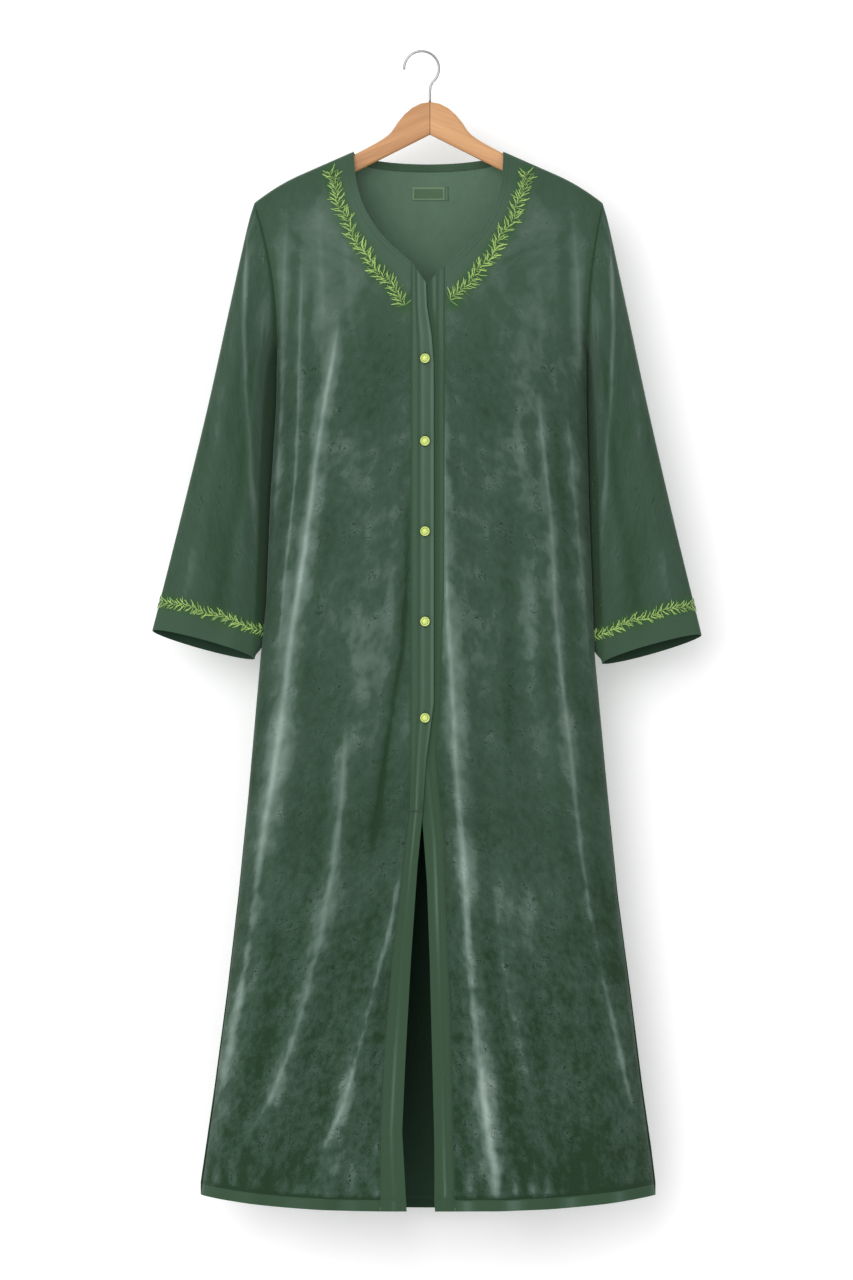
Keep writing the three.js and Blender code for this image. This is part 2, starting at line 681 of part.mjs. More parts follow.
// A thin piece that lies on the inner face of a panel.
function addInlay(group, name, panel, rowPlaces, columnPlaces, thickness, surface) {
  const pick = (grid) =>
    rowPlaces.map((row) => columnPlaces.map((column) => gridValue(grid, row, column)));
  const normals = pick(panel.normals);
  normals.forEach((row) => row.forEach((n) => n.normalize()));
  const rows = pick(panel.rows).map((row, i) =>
    row.map((p, j) => p.addScaledVector(normals[i][j], -WALL - SEAM_GAP)));
  const inlay = { rows, normals, closed: false, thickness };
  addMesh(group, name, wallGeometry(inlay), surface);
}

function addButtons(group) {
  const radius = BUTTON_DIAMETER / 2;
  const dome = [new THREE.Vector2(0, 0), new THREE.Vector2(radius * 0.9, 0),
    new THREE.Vector2(radius, BUTTON_HEIGHT * 0.25)];
  for (let i = 1; i <= 3; i += 1) {
    const turn = (i / 3) * Math.PI / 2;
    dome.push(new THREE.Vector2(radius * Math.cos(turn),
      BUTTON_HEIGHT * (0.25 + 0.75 * Math.sin(turn))));
  }
  dome[dome.length - 1].x = 0;
  BUTTON_Z.forEach((z, i) => {
    const nearest = Math.min(frontPoint(BUTTON_X, z - radius, 1).y,
      frontPoint(BUTTON_X, z + radius, 1).y);
    const button = addMesh(group, `button_${i + 1}`, new THREE.LatheGeometry(dome, 12), pearl());
    button.rotation.x = Math.PI;
    button.position.set(BUTTON_X, nearest - SEAM_GAP, z);
  });
}

// ---------- the hanger ----------

function hangerShape() {
  const armTop = (x) => shoulderZ(x + STEM_X) - HANGER_SEAT;
  const half = (side) => {
    const top = [WOOD_DOME, [...WOOD_NECK, [WOOD_ARM_X[0], armTop(WOOD_ARM_X[0])]]];
    const line = top.flatMap((curve) =>
      Array.from({ length: 5 }, (_, i) => bezier(curve, i / 5)));
    for (const x of WOOD_ARM_X) {
      line.push([x, armTop(x)]);
    }
    const tipX = WOOD_HALF - TIP_RADIUS;
    const tipZ = armTop(WOOD_HALF) - TIP_RADIUS * 0.8;
    for (let i = 0; i <= 6; i += 1) {
      const turn = Math.PI * (TIP_START - i / 6);
      line.push([tipX + TIP_RADIUS * Math.cos(turn), tipZ + TIP_RADIUS * Math.sin(turn)]);
    }
    line.push(WOOD_UNDER);
    return line.map(([x, z]) => [side * x, z]);
  };
  const outline = half(1).concat([[0, WOOD_NOTCH]], half(-1).reverse().slice(0, -1));
  return new THREE.Shape(outline.map(([x, z]) => new THREE.Vector2(x, z)));
}

function addHanger(group) {
  const flat = WOOD_THICK - 2 * WOOD_BEVEL;
  const geometry = new THREE.ExtrudeGeometry(hangerShape(), {
    depth: flat, bevelThickness: WOOD_BEVEL, bevelSize: WOOD_BEVEL - BEVEL_SHRINK,
    bevelOffset: BEVEL_SHRINK - WOOD_BEVEL, bevelSegments: 2, steps: 1 });
  geometry.translate(0, 0, -flat / 2);
  geometry.rotateX(Math.PI / 2);
  addMesh(group, 'hanger', geometry, wood());
}

// The wire rises from the wood, bends aside and turns over the rail to its tip.
function addHook(group) {
  const route = [...STEM_ROUTE];
  for (let i = 0; i <= HOOK_STEPS; i += 1) {
    const turn = lerp(HOOK_FROM, HOOK_TO, i / HOOK_STEPS) * Math.PI / 180;
    route.push([HOOK_RADIUS * Math.cos(turn) - HOOK_OFFSET,
      HOOK_RADIUS * Math.sin(turn) - CROWN_TO_CENTRE]);
  }
  const path = new THREE.CatmullRomCurve3(route.map(([x, z]) => new THREE.Vector3(x, 0, z)));
  const section = new THREE.Shape(Array.from({ length: 8 }, (_, i) =>
    new THREE.Vector2(WIRE / 2, 0).rotateAround(new THREE.Vector2(), i * Math.PI / 4)));
  const geometry = new THREE.ExtrudeGeometry(section, { steps: 34, extrudePath: path });
  addMesh(group, 'hook', geometry, steel());
}

// ---------- the whole ----------

const group = new THREE.Group();
const garment = new THREE.Group();
garment.position.x = GARMENT_X;
group.add(garment);
const { back } = addBody(garment);
const neckColumns = Array.from({ length: back.rows[0].length }, (_, j) => j)
  .slice(BINDING_FROM, -BINDING_FROM);
addInlay(garment, 'neck_binding', back, BINDING_ROWS, neckColumns, 1, facing());
addInlay(garment, 'label', back, LABEL_ROWS, LABEL_COLUMNS, 0.8, facing());
addButtons(garment);

const carrier = new THREE.Group();
carrier.position.x = HOOK_OFFSET;
group.add(carrier);
addHanger(carrier);
addHook(carrier);

export default group;
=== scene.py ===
import math

import bmesh
import bpy
import numpy as np
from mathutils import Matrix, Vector


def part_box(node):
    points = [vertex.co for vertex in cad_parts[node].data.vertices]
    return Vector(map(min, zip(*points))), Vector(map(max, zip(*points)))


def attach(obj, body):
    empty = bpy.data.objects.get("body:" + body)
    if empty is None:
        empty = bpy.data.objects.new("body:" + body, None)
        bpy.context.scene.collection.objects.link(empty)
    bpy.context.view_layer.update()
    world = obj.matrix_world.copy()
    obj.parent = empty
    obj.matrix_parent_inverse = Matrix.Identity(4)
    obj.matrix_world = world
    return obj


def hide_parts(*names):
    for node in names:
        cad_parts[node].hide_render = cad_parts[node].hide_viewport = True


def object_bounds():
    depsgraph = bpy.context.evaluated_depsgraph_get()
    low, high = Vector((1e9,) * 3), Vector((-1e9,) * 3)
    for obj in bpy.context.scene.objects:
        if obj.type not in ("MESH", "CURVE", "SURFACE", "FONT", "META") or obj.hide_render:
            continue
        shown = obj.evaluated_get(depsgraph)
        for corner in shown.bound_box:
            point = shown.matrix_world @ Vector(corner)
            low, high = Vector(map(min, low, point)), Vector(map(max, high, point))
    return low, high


bl_info = {
    "name": "Velvet abaya on a hanger",
    "version": (1, 0, 0),
    "blender": (4, 5, 0),
    "location": "View3D > Sidebar > Abaya",
    "description": "Drapes, sews and lights a long velvet abaya on its wooden hanger",
    "category": "Add Mesh",
}

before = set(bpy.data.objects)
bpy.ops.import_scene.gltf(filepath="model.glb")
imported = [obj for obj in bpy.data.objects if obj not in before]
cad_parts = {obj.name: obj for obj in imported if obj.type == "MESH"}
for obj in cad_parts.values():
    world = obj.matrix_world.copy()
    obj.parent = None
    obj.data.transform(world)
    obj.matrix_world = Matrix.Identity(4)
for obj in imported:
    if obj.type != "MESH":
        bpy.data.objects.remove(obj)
CAD_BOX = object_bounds()

# Lengths below are in millimetres from the garment's own centre line, x across, y to the
# back, z up from the rail. Wearer's right is at negative x.

MM = 0.001
GARMENT_X = 9.1
HANGER_X = 11.1

# ---------- the body's surface ----------

NECK_HALF = 99
NECK_Z = -131
BACK_NECK_DROP = 16
SHOULDER_X = 230
SHOULDER_SLOPE = 0.44
SHOULDER_BEND_X = 170
SHOULDER_BEND = 0.0029
HANGER_CLEAR = 8.5
HANGER_ROUND = 5
YOKE_FALL = 160
CHEST_Z = -387
SIDE_POWER = 2.4
YOKE_SPREAD = 0.35
ARMHOLE_POWER = 2.2
HEM_Z = -1529
HEM_RISE = 20
HEM_HALF = 301
LAP_LIFT = 1.5
LAP_FROM = 30
LAP_TO = 95
NECK_STITCHES = (2.5, 7.5)
BAND_STITCH = 0.36
CUFF_TILT = 6.5
VINE_ALONG = 0.851

SECTIONS = {
    "z": (-387, -465, -591, -723, -803, -987, -1119, -1251, -1383, -1462, -1512),
    "right": (200, 201, 209, 214, 222, 238, 251, 266, 283, 294, 301),
    "left": (209, 209, 212, 217, 220, 237, 250, 267, 283, 294, 300),
    "depth": (46, 47, 48, 50, 52, 56, 59, 63, 68, 71, 73),
}
RIGHT_EDGE = {
    "z": (-277, -337, -376, -412, -860, -935, -1002, -1074, -1196, -1320, -1424, -1530),
    "seam": (-23, -23, -23, -23, -23.5, -24, -25, -33, -48, -58, -63, -63.5),
    "edge": (-4.6, -2, 4.2, 7, 7, -2.9, -7.5, -14.5, -23, -30, -34.7, -28.6),
}
LEFT_EDGE = {
    "z": (-282, -700, -860, -927, -1003, -1041, -1096, -1197, -1313, -1431, -1530),
    "seam": (22, 21, 15, 9.5, 16.5, 21, 22, 26, 30, 32, 35),
    "edge": (-7, -8.6, -13, -18, -9, -6, -2, 1.6, 4.5, 7.5, 8.4),
}
RIGHT_NECK = ((-99, -131), (-99, -190), (-80, -235), (-23, -277))
LEFT_NECK = ((99, -131), (99, -195), (82, -235), (22, -282))
BAND_TOP = {-1: -305, 1: -312}

# Broad folds: top, end, x at top, middle and end, spread, height.
FRONT_FOLDS = (
    (-250, -860, -166, -176, -205, 17, 5),
    (-330, -1560, -118, -190, -292, 24, 11),
    (-860, -1560, -106, -150, -252, 20, 8),
    (-1090, -1560, -50, -92, -150, 17, 7),
    (-600, -1100, -66, -80, -100, 18, 4),
    (-420, -1560, 34, 52, 100, 19, 10),
    (-820, -1560, 96, 112, 160, 22, 7),
    (-400, -1560, 142, 178, 250, 22, 9),
    (-420, -900, 176, 196, 206, 14, 4),
)
BACK_FOLDS = (
    (-330, -1560, -150, -176, -244, 24, 10),
    (-520, -1560, -84, -104, -150, 23, 9),
    (-420, -1560, -14, -22, -46, 26, 8),
    (-640, -1560, 42, 48, 66, 21, 8),
    (-380, -1560, 92, 118, 166, 24, 10),
    (-700, -1560, 164, 196, 256, 20, 8),
)

# Creases on the broad folds: their heights, x at each, spread, height, painted highlight, painted
# shade. The painted highlight lies along the crest and the painted shade on both sides of it. A
# negative height is a trough. A pair runs from the crease's top to its end.
FRONT_CREASES = (
    ((-223, -426, -560, -636), (-188, -194, -199, -203), 5, 1.6, 0.45, 0.5),
    ((-275, -459, -552, -631, -772), (-168, -171, -176, -183, -196), 3.5, 1.8, 0.75, 0.6),
    ((-362, -459, -598, -725, -855, -1009, -1118, -1302, -1400),
     (-120, -136, -156, -174, -191, -214, -229, -259, -279), (5, 12), 2.6, (1.35, 1.3), 0.6),
    ((-884, -987, -1075, -1172, -1290, -1382, -1472), (-107, -115, -126, -142, -175, -208, -262),
     7, 2.2, 0.75, 0.55),
    ((-1070, -1150, -1232, -1290, -1389, -1450), (-37, -50, -70, -85, -113, -140),
     6, 1.8, 1.2, 0.45),
    ((-580, -631, -700, -745), (-27.5, -28, -29, -31), 5.5, -1.4, -0.9, -0.3),
    ((-700, -790, -860, -935, -1003, -1060), (-30, -35, -46, -57, -68, -76), 6, -2.4, -1.3, -0.3),
    ((-420, -661, -800, -921, -1031, -1162, -1302, -1419, -1502),
     (17, 22, 28, 35, 43, 51, 63, 77, 92), (3.5, 11), 2.6, (0.8, 1.7), 0.55),
    ((-440, -600, -760, -880), (118, 124, 132, 140), 14, 1.2, 0.12, 0.1),
    ((-1100, -1243, -1325, -1397, -1470), (86, 104, 125, 139, 160), 7, 1.8, 0.5, 0.4),
    ((-1180, -1266, -1383, -1440), (136, 143, 146, 150), 16, -2.2, -0.4, 0),
    ((-459, -586, -737, -855, -998, -1129, -1214, -1302, -1400),
     (146, 159, 168, 179, 195, 212, 228, 249, 270), (4.5, 7), 2.2, (0.6, 1.1), 0.5),
    ((-440, -611, -725, -790), (179, 196, 206, 210), 5, 1.6, 0.35, 0.7),
    ((-209, -300, -405), (190, 196, 200), 5, 1.6, 0.4, 0.6),
    ((-200, -260, -330, -400), (-146, -142, -140, -141), 8, 1.4, 0.4, 0.3),
    ((-230, -300, -360), (-112, -105, -101), 9, 1.0, 0.3, 0.2),
    ((-210, -280, -350, -420), (150, 146, 148, 152), 9, 1.2, 0.1, 0.1),
)
BACK_CREASES = (
    ((-240, -420, -640, -900, -1180, -1480), (-146, -158, -176, -196, -219, -240),
     7, 2.4, 0.6, 0.45),
    ((-400, -620, -860, -1120, -1480), (-86, -94, -103, -120, -146), 7, 2.0, 0.28, 0.4),
    ((-300, -520, -800, -1100, -1490), (-13, -17, -24, -31, -44), 8, 2.2, 0.45, 0.45),
    ((-640, -860, -1150, -1490), (42, 47, 54, 64), 6.5, 1.8, 0.2, 0.3),
    ((-260, -480, -760, -1080, -1480), (90, 104, 122, 141, 160), 7, 2.4, 0.65, 0.45),
    ((-700, -960, -1220, -1480), (166, 189, 217, 248), 7, 2.0, 0.3, 0.4),
    ((-190, -260, -340), (-182, -188, -192), 6, 1.4, 0.4, 0.4),
    ((-190, -270, -350), (184, 188, 194), 6, 1.4, 0.4, 0.4),
    ((-980, -1160, -1300), (-70, -78, -86), 12, -2.0, -0.4, 0),
    ((-900, -1100, -1340), (100, 104, 112), 12, -2.0, -0.4, 0),
)

# Broad areas of the front painted lighter or darker, as painted light and shade: x, z, half
# width, half height, shade.
FRONT_PAINTED_LIGHT = (
    (-62, -415, 48, 90, -0.34),
    (-156, -285, 34, 75, 0.06),
    (124, -310, 50, 90, -0.16),
    (62, -420, 40, 95, -0.2),
    (106, -800, 10, 260, -0.28),
    (136, -800, 15, 240, 0.14),
    (-92, -820, 13, 110, 0.16),
    (-62, -1180, 26, 140, -0.1),
    (-222, -1440, 48, 60, -0.22),
    (212, -1440, 46, 70, -0.4),
    (112, -1420, 30, 80, -0.05),
    (-140, -1455, 34, 34, 0.16),
    (150, -1120, 30, 120, 0.08),
    (-196, -1000, 22, 260, 0.2),
    (-120, -1060, 20, 200, 0.16),
    (110, -1180, 34, 200, 0.14),
)

# Sleeve rings from the armhole to the cuff.
SLEEVES = {
    -1: {
        "outer_x": (-230, -237, -247, -266, -293, -329, -356, -365),
        "outer_z": (-199, -222, -265, -352, -474, -622, -729, -764),
        "inner_x": (-200, -207, -212, -216, -218.3, -220.5, -223.5, -229.5),
        "inner_z": (-387, -399, -420, -475, -560, -675, -768, -801),
        "depth": (24, 25, 26, 26, 24, 20, 16, 15),
    },
    1: {
        "outer_x": (230, 237, 247, 265, 291, 325, 352, 361),
        "outer_z": (-199, -223, -268, -352, -474, -622, -733, -770),
        "inner_x": (209, 213.5, 216, 218, 219.5, 221.5, 224, 229),
        "inner_z": (-387, -401, -424, -480, -564, -682, -774, -807),
        "depth": (24, 25, 26, 26, 24, 20, 16, 15),
    },
}
# Place across (0 outer edge, 1 inner edge), spread, height.
SLEEVE_FOLDS = ((0.76, 0.1, 3.5), (0.3, 0.13, 3))
# Start and end along the sleeve, place at each, spread, height, painted highlight, painted shade.
SLEEVE_CREASES = (
    (0.2, 0.68, 0.12, 0.86, 0.05, 1.6, 0.55, 0.2),
    (0.12, 0.85, 0.24, 0.34, 0.06, 1.0, 0.1, 0.2),
    (0.30, 0.95, 0.62, 0.55, 0.06, -1.2, -0.4, 0),
    (0.00, 0.30, 0.16, 0.10, 0.03, 1.0, 0.12, 0.2),
)

# Vines down the neckline, and the stitched lines.
VINES = {
    -1: ((-129.5, -157), (-126.1, -171.6), (-115.5, -205.9), (-104.9, -229.7), (-91.7, -256.1),
         (-73.9, -282.5), (-54.8, -302.3), (-38.9, -322.1), (-29, -335.3)),
    1: ((129.8, -158), (126.7, -171.6), (120.8, -197.3), (111.5, -219.1), (95.7, -245.5),
        (78.5, -274.6), (61.4, -295.7), (43.6, -312.8), (29.5, -331)),
}
# The wearer's right front and left front.
SIDES = ((-1, "right", RIGHT_NECK, RIGHT_EDGE), (1, "left", LEFT_NECK, LEFT_EDGE))
VINE_STEP = 6.6
CUFF_VINE_STEP = 7.0
SEAM_END_X = 296
BUTTON_X = -4.6
BUTTON_Z = (-405, -514, -633, -752, -879)
BUTTON_HEIGHT = 5
TACK_Z = -1002
TACK_X = (-23, -7.3)
# Spin outline of a button: share of its radius, share of its height.
BUTTON_OUTLINE = ((0, 0), (0.88, 0), (0.97, 0.12), (1.0, 0.3), (0.97, 0.5), (0.88, 0.6),
                  (0.78, 0.6), (0.7, 0.5), (0.62, 0.5), (0.5, 0.72), (0.34, 0.88), (0.17, 0.97),
                  (0, 1.0))

# Neck binding, label and its folded end, inside the back.
BINDING_DROP = (0.3, 9.6)
BINDING_WALL = 0.0008
LABEL_X = (-21.8, 22)
LABEL_Z = (-176.2, -194.2)
LABEL_MIDDLE = (0.1, -185.2)
LABEL_HALF = (21.9, 9)
LABEL_WALL = 0.0006
FOLD_X = (22.6, 26.4)
FOLD_RISE = 1.4
FOLD_WALL = 0.0005

# The hook's wire: its stem, and the crown's radius, height and turn in degrees.
WIRE = 1.6
STEM = [(0, -66.5), (0, -62), (0, -58), (0, -51), (0.9, -44.5)]
CROWN_X = -11.1
CROWN_Z = -21.4
CROWN_RADIUS = 23.0
CROWN_TURN = (-50, 180)

# The stage, in metres, and its lights. The frame shows 1280 rows of 1.32 mm.
WALL_BEHIND = 0.03
FLOOR_BELOW = 0.36
WORLD_LIGHT = 0.77
KEY_LIGHT = 1.15
KEY_ANGLE = 40
KEY_HEADING = (0.32, 1.0, -0.32)
SIDE_LIGHT = 6
SIDE_SIZE = 1.2
SIDE_PLACE = (-2.2, -0.9, -0.6)
SIDE_HEADING = (2.2, 0.9, -0.2)
FRAME_ROWS = 1280
ROW_HEIGHT = 1.32
SENSOR = 36
CAMERA_X = 0.0065
CAMERA_Z = -0.7764
CAMERA_AWAY = 20.0
CAMERA_SETBACK = 0.02

# Rows and columns of the cloth grids.
YOKE_NECK_ROWS = 46
YOKE_CHEST_ROWS = 18
NECK_SHARE = 0.6
BODY_ROWS = 226
HEM_STEPS = (17, 16, 15.4, 14.6, 13, 10, 6, 2.5, 0.8, 0)
FRONT_COLUMNS = 92
FRONT_CROWD = 1.5
SHOULDER_COLUMNS = 34
BACK_NECK_COLUMNS = 84
BAND_COLUMNS = 12
SLEEVE_LENGTH = 560.0
SLEEVE_RINGS = 150
SLEEVE_COLUMNS = 112


def smooth(t, low, high):
    share = np.clip((t - low) / (high - low), 0, 1)
    return share * share * (3 - 2 * share)


def bell(x, middle, spread):
    return np.exp(-(((x - middle) / spread) ** 2))


def between(heights, z, values):
    """The value at height z, between those given for each height."""
    keys = np.array(heights, float)
    order = np.argsort(keys)
    return np.interp(z, keys[order], np.array(values, float)[order])


def read(table, column, z):
    return between(table["z"], z, table[column])


def bezier(points, t):
    t = np.asarray(t, float)[..., None]
    weights = ((1 - t) ** 3, 3 * t * (1 - t) ** 2, 3 * t * t * (1 - t), t**3)
    return sum(w * np.array(p, float) for w, p in zip(weights, points))


def shoulder_z(x):
    bend = np.maximum(0, np.abs(x) - SHOULDER_BEND_X)
    return NECK_Z - SHOULDER_SLOPE * (np.abs(x) - NECK_HALF) - SHOULDER_BEND * bend * bend


def half_width(x, z):
    width = np.where(x < 0, read(SECTIONS, "right", z), read(SECTIONS, "left", z))
    return width + YOKE_SPREAD * np.maximum(0, z - CHEST_Z)


def body_depth(x, z):
    across = np.minimum(1, np.abs(x) / half_width(x, z))
    full = read(SECTIONS, "depth", z) * np.sqrt(1 - across**SIDE_POWER)
    below = np.maximum(0, shoulder_z(x) - z)
    over = np.sqrt(1 - (1 - np.minimum(1, below / HANGER_ROUND)) ** 2)
    fall = 1 - (1 - np.minimum(1, below / YOKE_FALL)) ** 2
    return HANGER_CLEAR * over + (full - HANGER_CLEAR) * fall


def side_fade(x, z):
    return np.sqrt(np.maximum(0, 1 - (np.abs(x) / half_width(x, z)) ** 4))


def fold_height(folds, x, z):
    height = np.zeros(np.broadcast(x, z).shape)
    for top, end, x0, x1, x2, spread, rise in folds:
        share = np.clip((z - top) / (end - top), 0, 1)
        crest = x0 * (1 - share) * (1 - 2 * share) + 4 * x1 * share * (1 - share)
        crest = crest + x2 * share * (2 * share - 1)
        swell = np.minimum(1, share * 3)
        if end > HEM_Z:
            swell = swell * np.minimum(1, (1 - share) * 3)
        height = height + rise * swell * bell(x, crest, spread)
    return height * side_fade(x, z)


def graded(value, share):
    """A value that may run from one at a crease's top to another at its end."""
    first, last = value if isinstance(value, tuple) else (value, value)
    return first + (last - first) * share


def crease_marks(creases, x, z):
    """The fine creases' height in millimetres, and the painted highlight on their crests and painted
    shade beside them.
    """
    height = np.zeros(np.broadcast(x, z).shape)
    pile = np.zeros_like(height)
    for number, (heights, line, spread, rise, painted_highlight, deep) in enumerate(creases):
        wander = 0.8 * np.sin(z / 43 + 2.1 * number) + 0.25 * np.sin(z / 13 + number)
        line = between(heights, z, line) + wander
        top, end = heights[0], heights[-1]
        fade = smooth(z, top + 30, top - 70) * smooth(z, end - 45, end + 60)
        uneven = 0.86 + 0.14 * np.sin(z / 47 + 1.7 * number)
        share = np.clip((top - z) / (top - end), 0, 1)
        away = (x - line) / graded(spread, share)
        bump = np.exp(-away * away)
        crest_highlight = 0.56 * np.exp(-((away / 0.5) ** 2)) + 0.3 * np.exp(-((away / 2.2) ** 2))
        beside_shade = bell(np.abs(away), 3.4, 1.7)
        height = height + rise * uneven * fade * bump
        # Painted highlight along each crest and painted shade on both sides of it.
        pile = pile + fade * uneven * (graded(painted_highlight, share) * crest_highlight - 0.4 * deep * beside_shade)
    return height * side_fade(x, z), pile


def hem_z(x):
    return HEM_Z + HEM_RISE * np.minimum(1, np.abs(x) / HEM_HALF) ** 3


def hem_lift(x, z, sizes):
    """The turned-up hem stands proud of the cloth, and its stitch line draws it in."""
    above = z - hem_z(x)
    turned = sizes.hem_rise / MM * smooth(above, sizes.hem_band / MM + 1, sizes.hem_band / MM - 0.6)
    pull = bell(above, sizes.hem_band / MM, 2.2)
    near = bell(np.maximum(0, above - sizes.hem_band / MM), 0, 20)
    return turned - 0.5 * pull + 1.8 * hem_pucker(x) * near * smooth(above, 4, 14)


def hem_pucker(x):
    """Small uneven puckers, from 0 to 1, where the hem's stitches draw the cloth in."""
    wave = np.sin(x / 4.1 + 1.3 * np.sin(x / 23)) * (0.55 + 0.45 * np.sin(x / 61 + 0.7))
    return 0.5 + 0.5 * wave


def sewn_dips(x, z, lap):
    """The stitched lines draw the cloth in along the band and the neckline."""
    edges, neck = (RIGHT_EDGE, RIGHT_NECK) if lap > 0 else (LEFT_EDGE, LEFT_NECK)
    seam = read(edges, "seam", z)
    edge = read(edges, "edge", z)
    below = smooth(z, -272, -284)
    dips = 0.7 * below * bell(x, seam, 2.2)
    dips = dips + 0.4 * below * bell(x, seam + (edge - seam) * BAND_STITCH, 1.3)
    from_neck = neck_distance(neck, x, z)
    for inset in NECK_STITCHES:
        dips = dips + 0.4 * (1 - below) * bell(from_neck, inset, 1.3)
    return dips


def neck_distance(neck, x, z):
    """How far a point of the front lies from the neckline, in front view."""
    line = bezier(neck, np.linspace(0, 1, 40))
    gaps = np.hypot(x[..., None] - line[:, 0], z[..., None] - line[:, 1])
    return gaps.min(-1)


def front_depth(x, z, lap, sizes):
    crease = crease_marks(FRONT_CREASES, x, z)[0] - sewn_dips(x, z, lap)
    lift = LAP_LIFT * smooth(-np.abs(x), -LAP_TO, -LAP_FROM)
    depth = body_depth(x, z) + fold_height(FRONT_FOLDS, x, z) + crease + lap * lift
    return np.maximum(0, depth + hem_lift(x, z, sizes) * side_fade(x, z))


def front_point(x, z, lap, sizes):
    return np.stack([x, -front_depth(x, z, lap, sizes) - sizes.seam_gap / MM / 2, z], -1)


def back_point(x, z, sizes):
    crease = crease_marks(BACK_CREASES, x, z)[0]
    depth = body_depth(x, z) + fold_height(BACK_FOLDS, x, z) + crease
    depth = depth + hem_lift(x, z, sizes) * side_fade(x, z)
    return np.stack([x, np.maximum(0, depth) + sizes.seam_gap / MM / 2, z], -1)


def armhole(side, v):
    underarm = read(SECTIONS, "right" if side < 0 else "left", CHEST_Z)
    x = underarm + (SHOULDER_X - underarm) * (1 - v) ** ARMHOLE_POWER
    top = shoulder_z(SHOULDER_X)
    return np.stack([side * x, top + (CHEST_Z - top) * v], -1)


def coons(top, bottom, start, end):
    """A patch in front view between four curves: top and bottom by column, sides by row."""
    u = np.linspace(0, 1, len(top))[None, :, None]
    height = (start[:, 1] - start[0, 1]) / (start[-1, 1] - start[0, 1])
    v = height[:, None, None]
    rows = (1 - v) * top[None] + v * bottom[None]
    columns = (1 - u) * start[:, None] + u * end[:, None]
    corners = (1 - u) * ((1 - v) * start[0] + v * start[-1])
    corners = corners + u * ((1 - v) * end[0] + v * end[-1])
    return rows + columns - corners


def yoke_levels():
    neck = NECK_SHARE * np.linspace(0, 1, YOKE_NECK_ROWS + 1) ** 1.6
    return np.concatenate([neck, np.linspace(NECK_SHARE, 1, YOKE_CHEST_ROWS + 1)[1:]])


def below_chest(at_level):
    """Rows from the underarm to the hem, the last ones close together at the turned-up hem."""
    full = HEM_Z - CHEST_Z
    shares = np.linspace(0, 1 + HEM_STEPS[0] / full, BODY_ROWS + 1)[1:]
    shares = np.concatenate([shares, [1 + step / full for step in HEM_STEPS[1:]]])
    return np.stack([at_level(share) for share in shares])


def front_plan(side, neck, edges):
    v = yoke_levels()
    u = np.linspace(0, 1, FRONT_COLUMNS + 1)
    crowd = u**FRONT_CROWD

    def centre(z):
        return read(edges, "seam", z)

    width = SHOULDER_X + (NECK_HALF - SHOULDER_X) * u
    top = np.stack([side * width, shoulder_z(width)], -1)
    underarm = armhole(side, 1.0)[0]
    chest = underarm + (centre(CHEST_Z) - underarm) * crowd
    bottom = np.stack([chest, np.full_like(chest, CHEST_Z)], -1)
    inner_z = neck[3][1] + (CHEST_Z - neck[3][1]) * np.clip((v - NECK_SHARE) / (1 - NECK_SHARE), 0, 1)
    below = np.stack([centre(inner_z), inner_z], -1)
    inner = np.where((v <= NECK_SHARE)[:, None], bezier(neck, np.minimum(1, v / NECK_SHARE)), below)
    yoke = coons(top, bottom, armhole(side, v), inner)

    def row(share):
        level = CHEST_Z + (HEM_Z - CHEST_Z) * share
        outer = side * half_width(float(side), level)
        x = outer + (centre(level) - outer) * crowd
        return np.stack([x, CHEST_Z + (hem_z(x) - CHEST_Z) * share], -1)

    return np.concatenate([yoke, below_chest(row)])


def band_plan(side, edges, front):
    seam = front[YOKE_NECK_ROWS:, -1]
    share = np.clip((seam[:, 1] - CHEST_Z) / (seam[0, 1] - CHEST_Z), 0, 1)
    edge_z = np.where(seam[:, 1] > CHEST_Z, CHEST_Z + (BAND_TOP[side] - CHEST_Z) * share, seam[:, 1])
    edge = np.stack([read(edges, "edge", edge_z), edge_z], -1)
    across = np.linspace(0, 1, BAND_COLUMNS + 1)[None, :, None]
    return seam[:, None] * (1 - across) + edge[:, None] * across


def back_plan():
    v = yoke_levels()
    slope = np.linspace(0, 1, SHOULDER_COLUMNS + 1)[:-1]
    width = SHOULDER_X + (NECK_HALF - SHOULDER_X) * slope
    turn = np.linspace(0, math.pi, BACK_NECK_COLUMNS + 1)
    neck_x = -NECK_HALF * np.cos(turn)
    neck_z = NECK_Z - BACK_NECK_DROP * np.sin(turn)
    line_x = np.concatenate([-width, neck_x, width[::-1]])
    line_z = np.concatenate([shoulder_z(width), neck_z, shoulder_z(width)[::-1]])
    u = np.linspace(-1, 1, len(line_x))
    place = np.sign(u) * (1 - (1 - np.abs(u)) ** 1.4)
    chest = np.where(u < 0, -armhole(-1, 1.0)[0], armhole(1, 1.0)[0]) * place
    bottom = np.stack([chest, np.full_like(chest, CHEST_Z)], -1)
    yoke = coons(np.stack([line_x, line_z], -1), bottom, armhole(-1, v), armhole(1, v))

    def row(share):
        x = place * half_width(place, CHEST_Z + (HEM_Z - CHEST_Z) * share)
        return np.stack([x, CHEST_Z + (hem_z(x) - CHEST_Z) * share], -1)

    return np.concatenate([yoke, below_chest(row)])


def ring_edge(side, column, along):
    """A smooth curve through the sleeve rings' column."""
    values = np.array(SLEEVES[side][column], float)
    last = len(values) - 1
    at = along * last
    i = np.minimum(last - 1, np.floor(at)).astype(int)
    a, b, c, d = (values[np.clip(i + step, 0, last)] for step in (-1, 0, 1, 2))
    t = at - i
    bend = 2 * a - 5 * b + 4 * c - d
    twist = 3 * (b - c) + d - a
    return 0.5 * (2 * b + (c - a) * t + bend * t * t + twist * t**3)


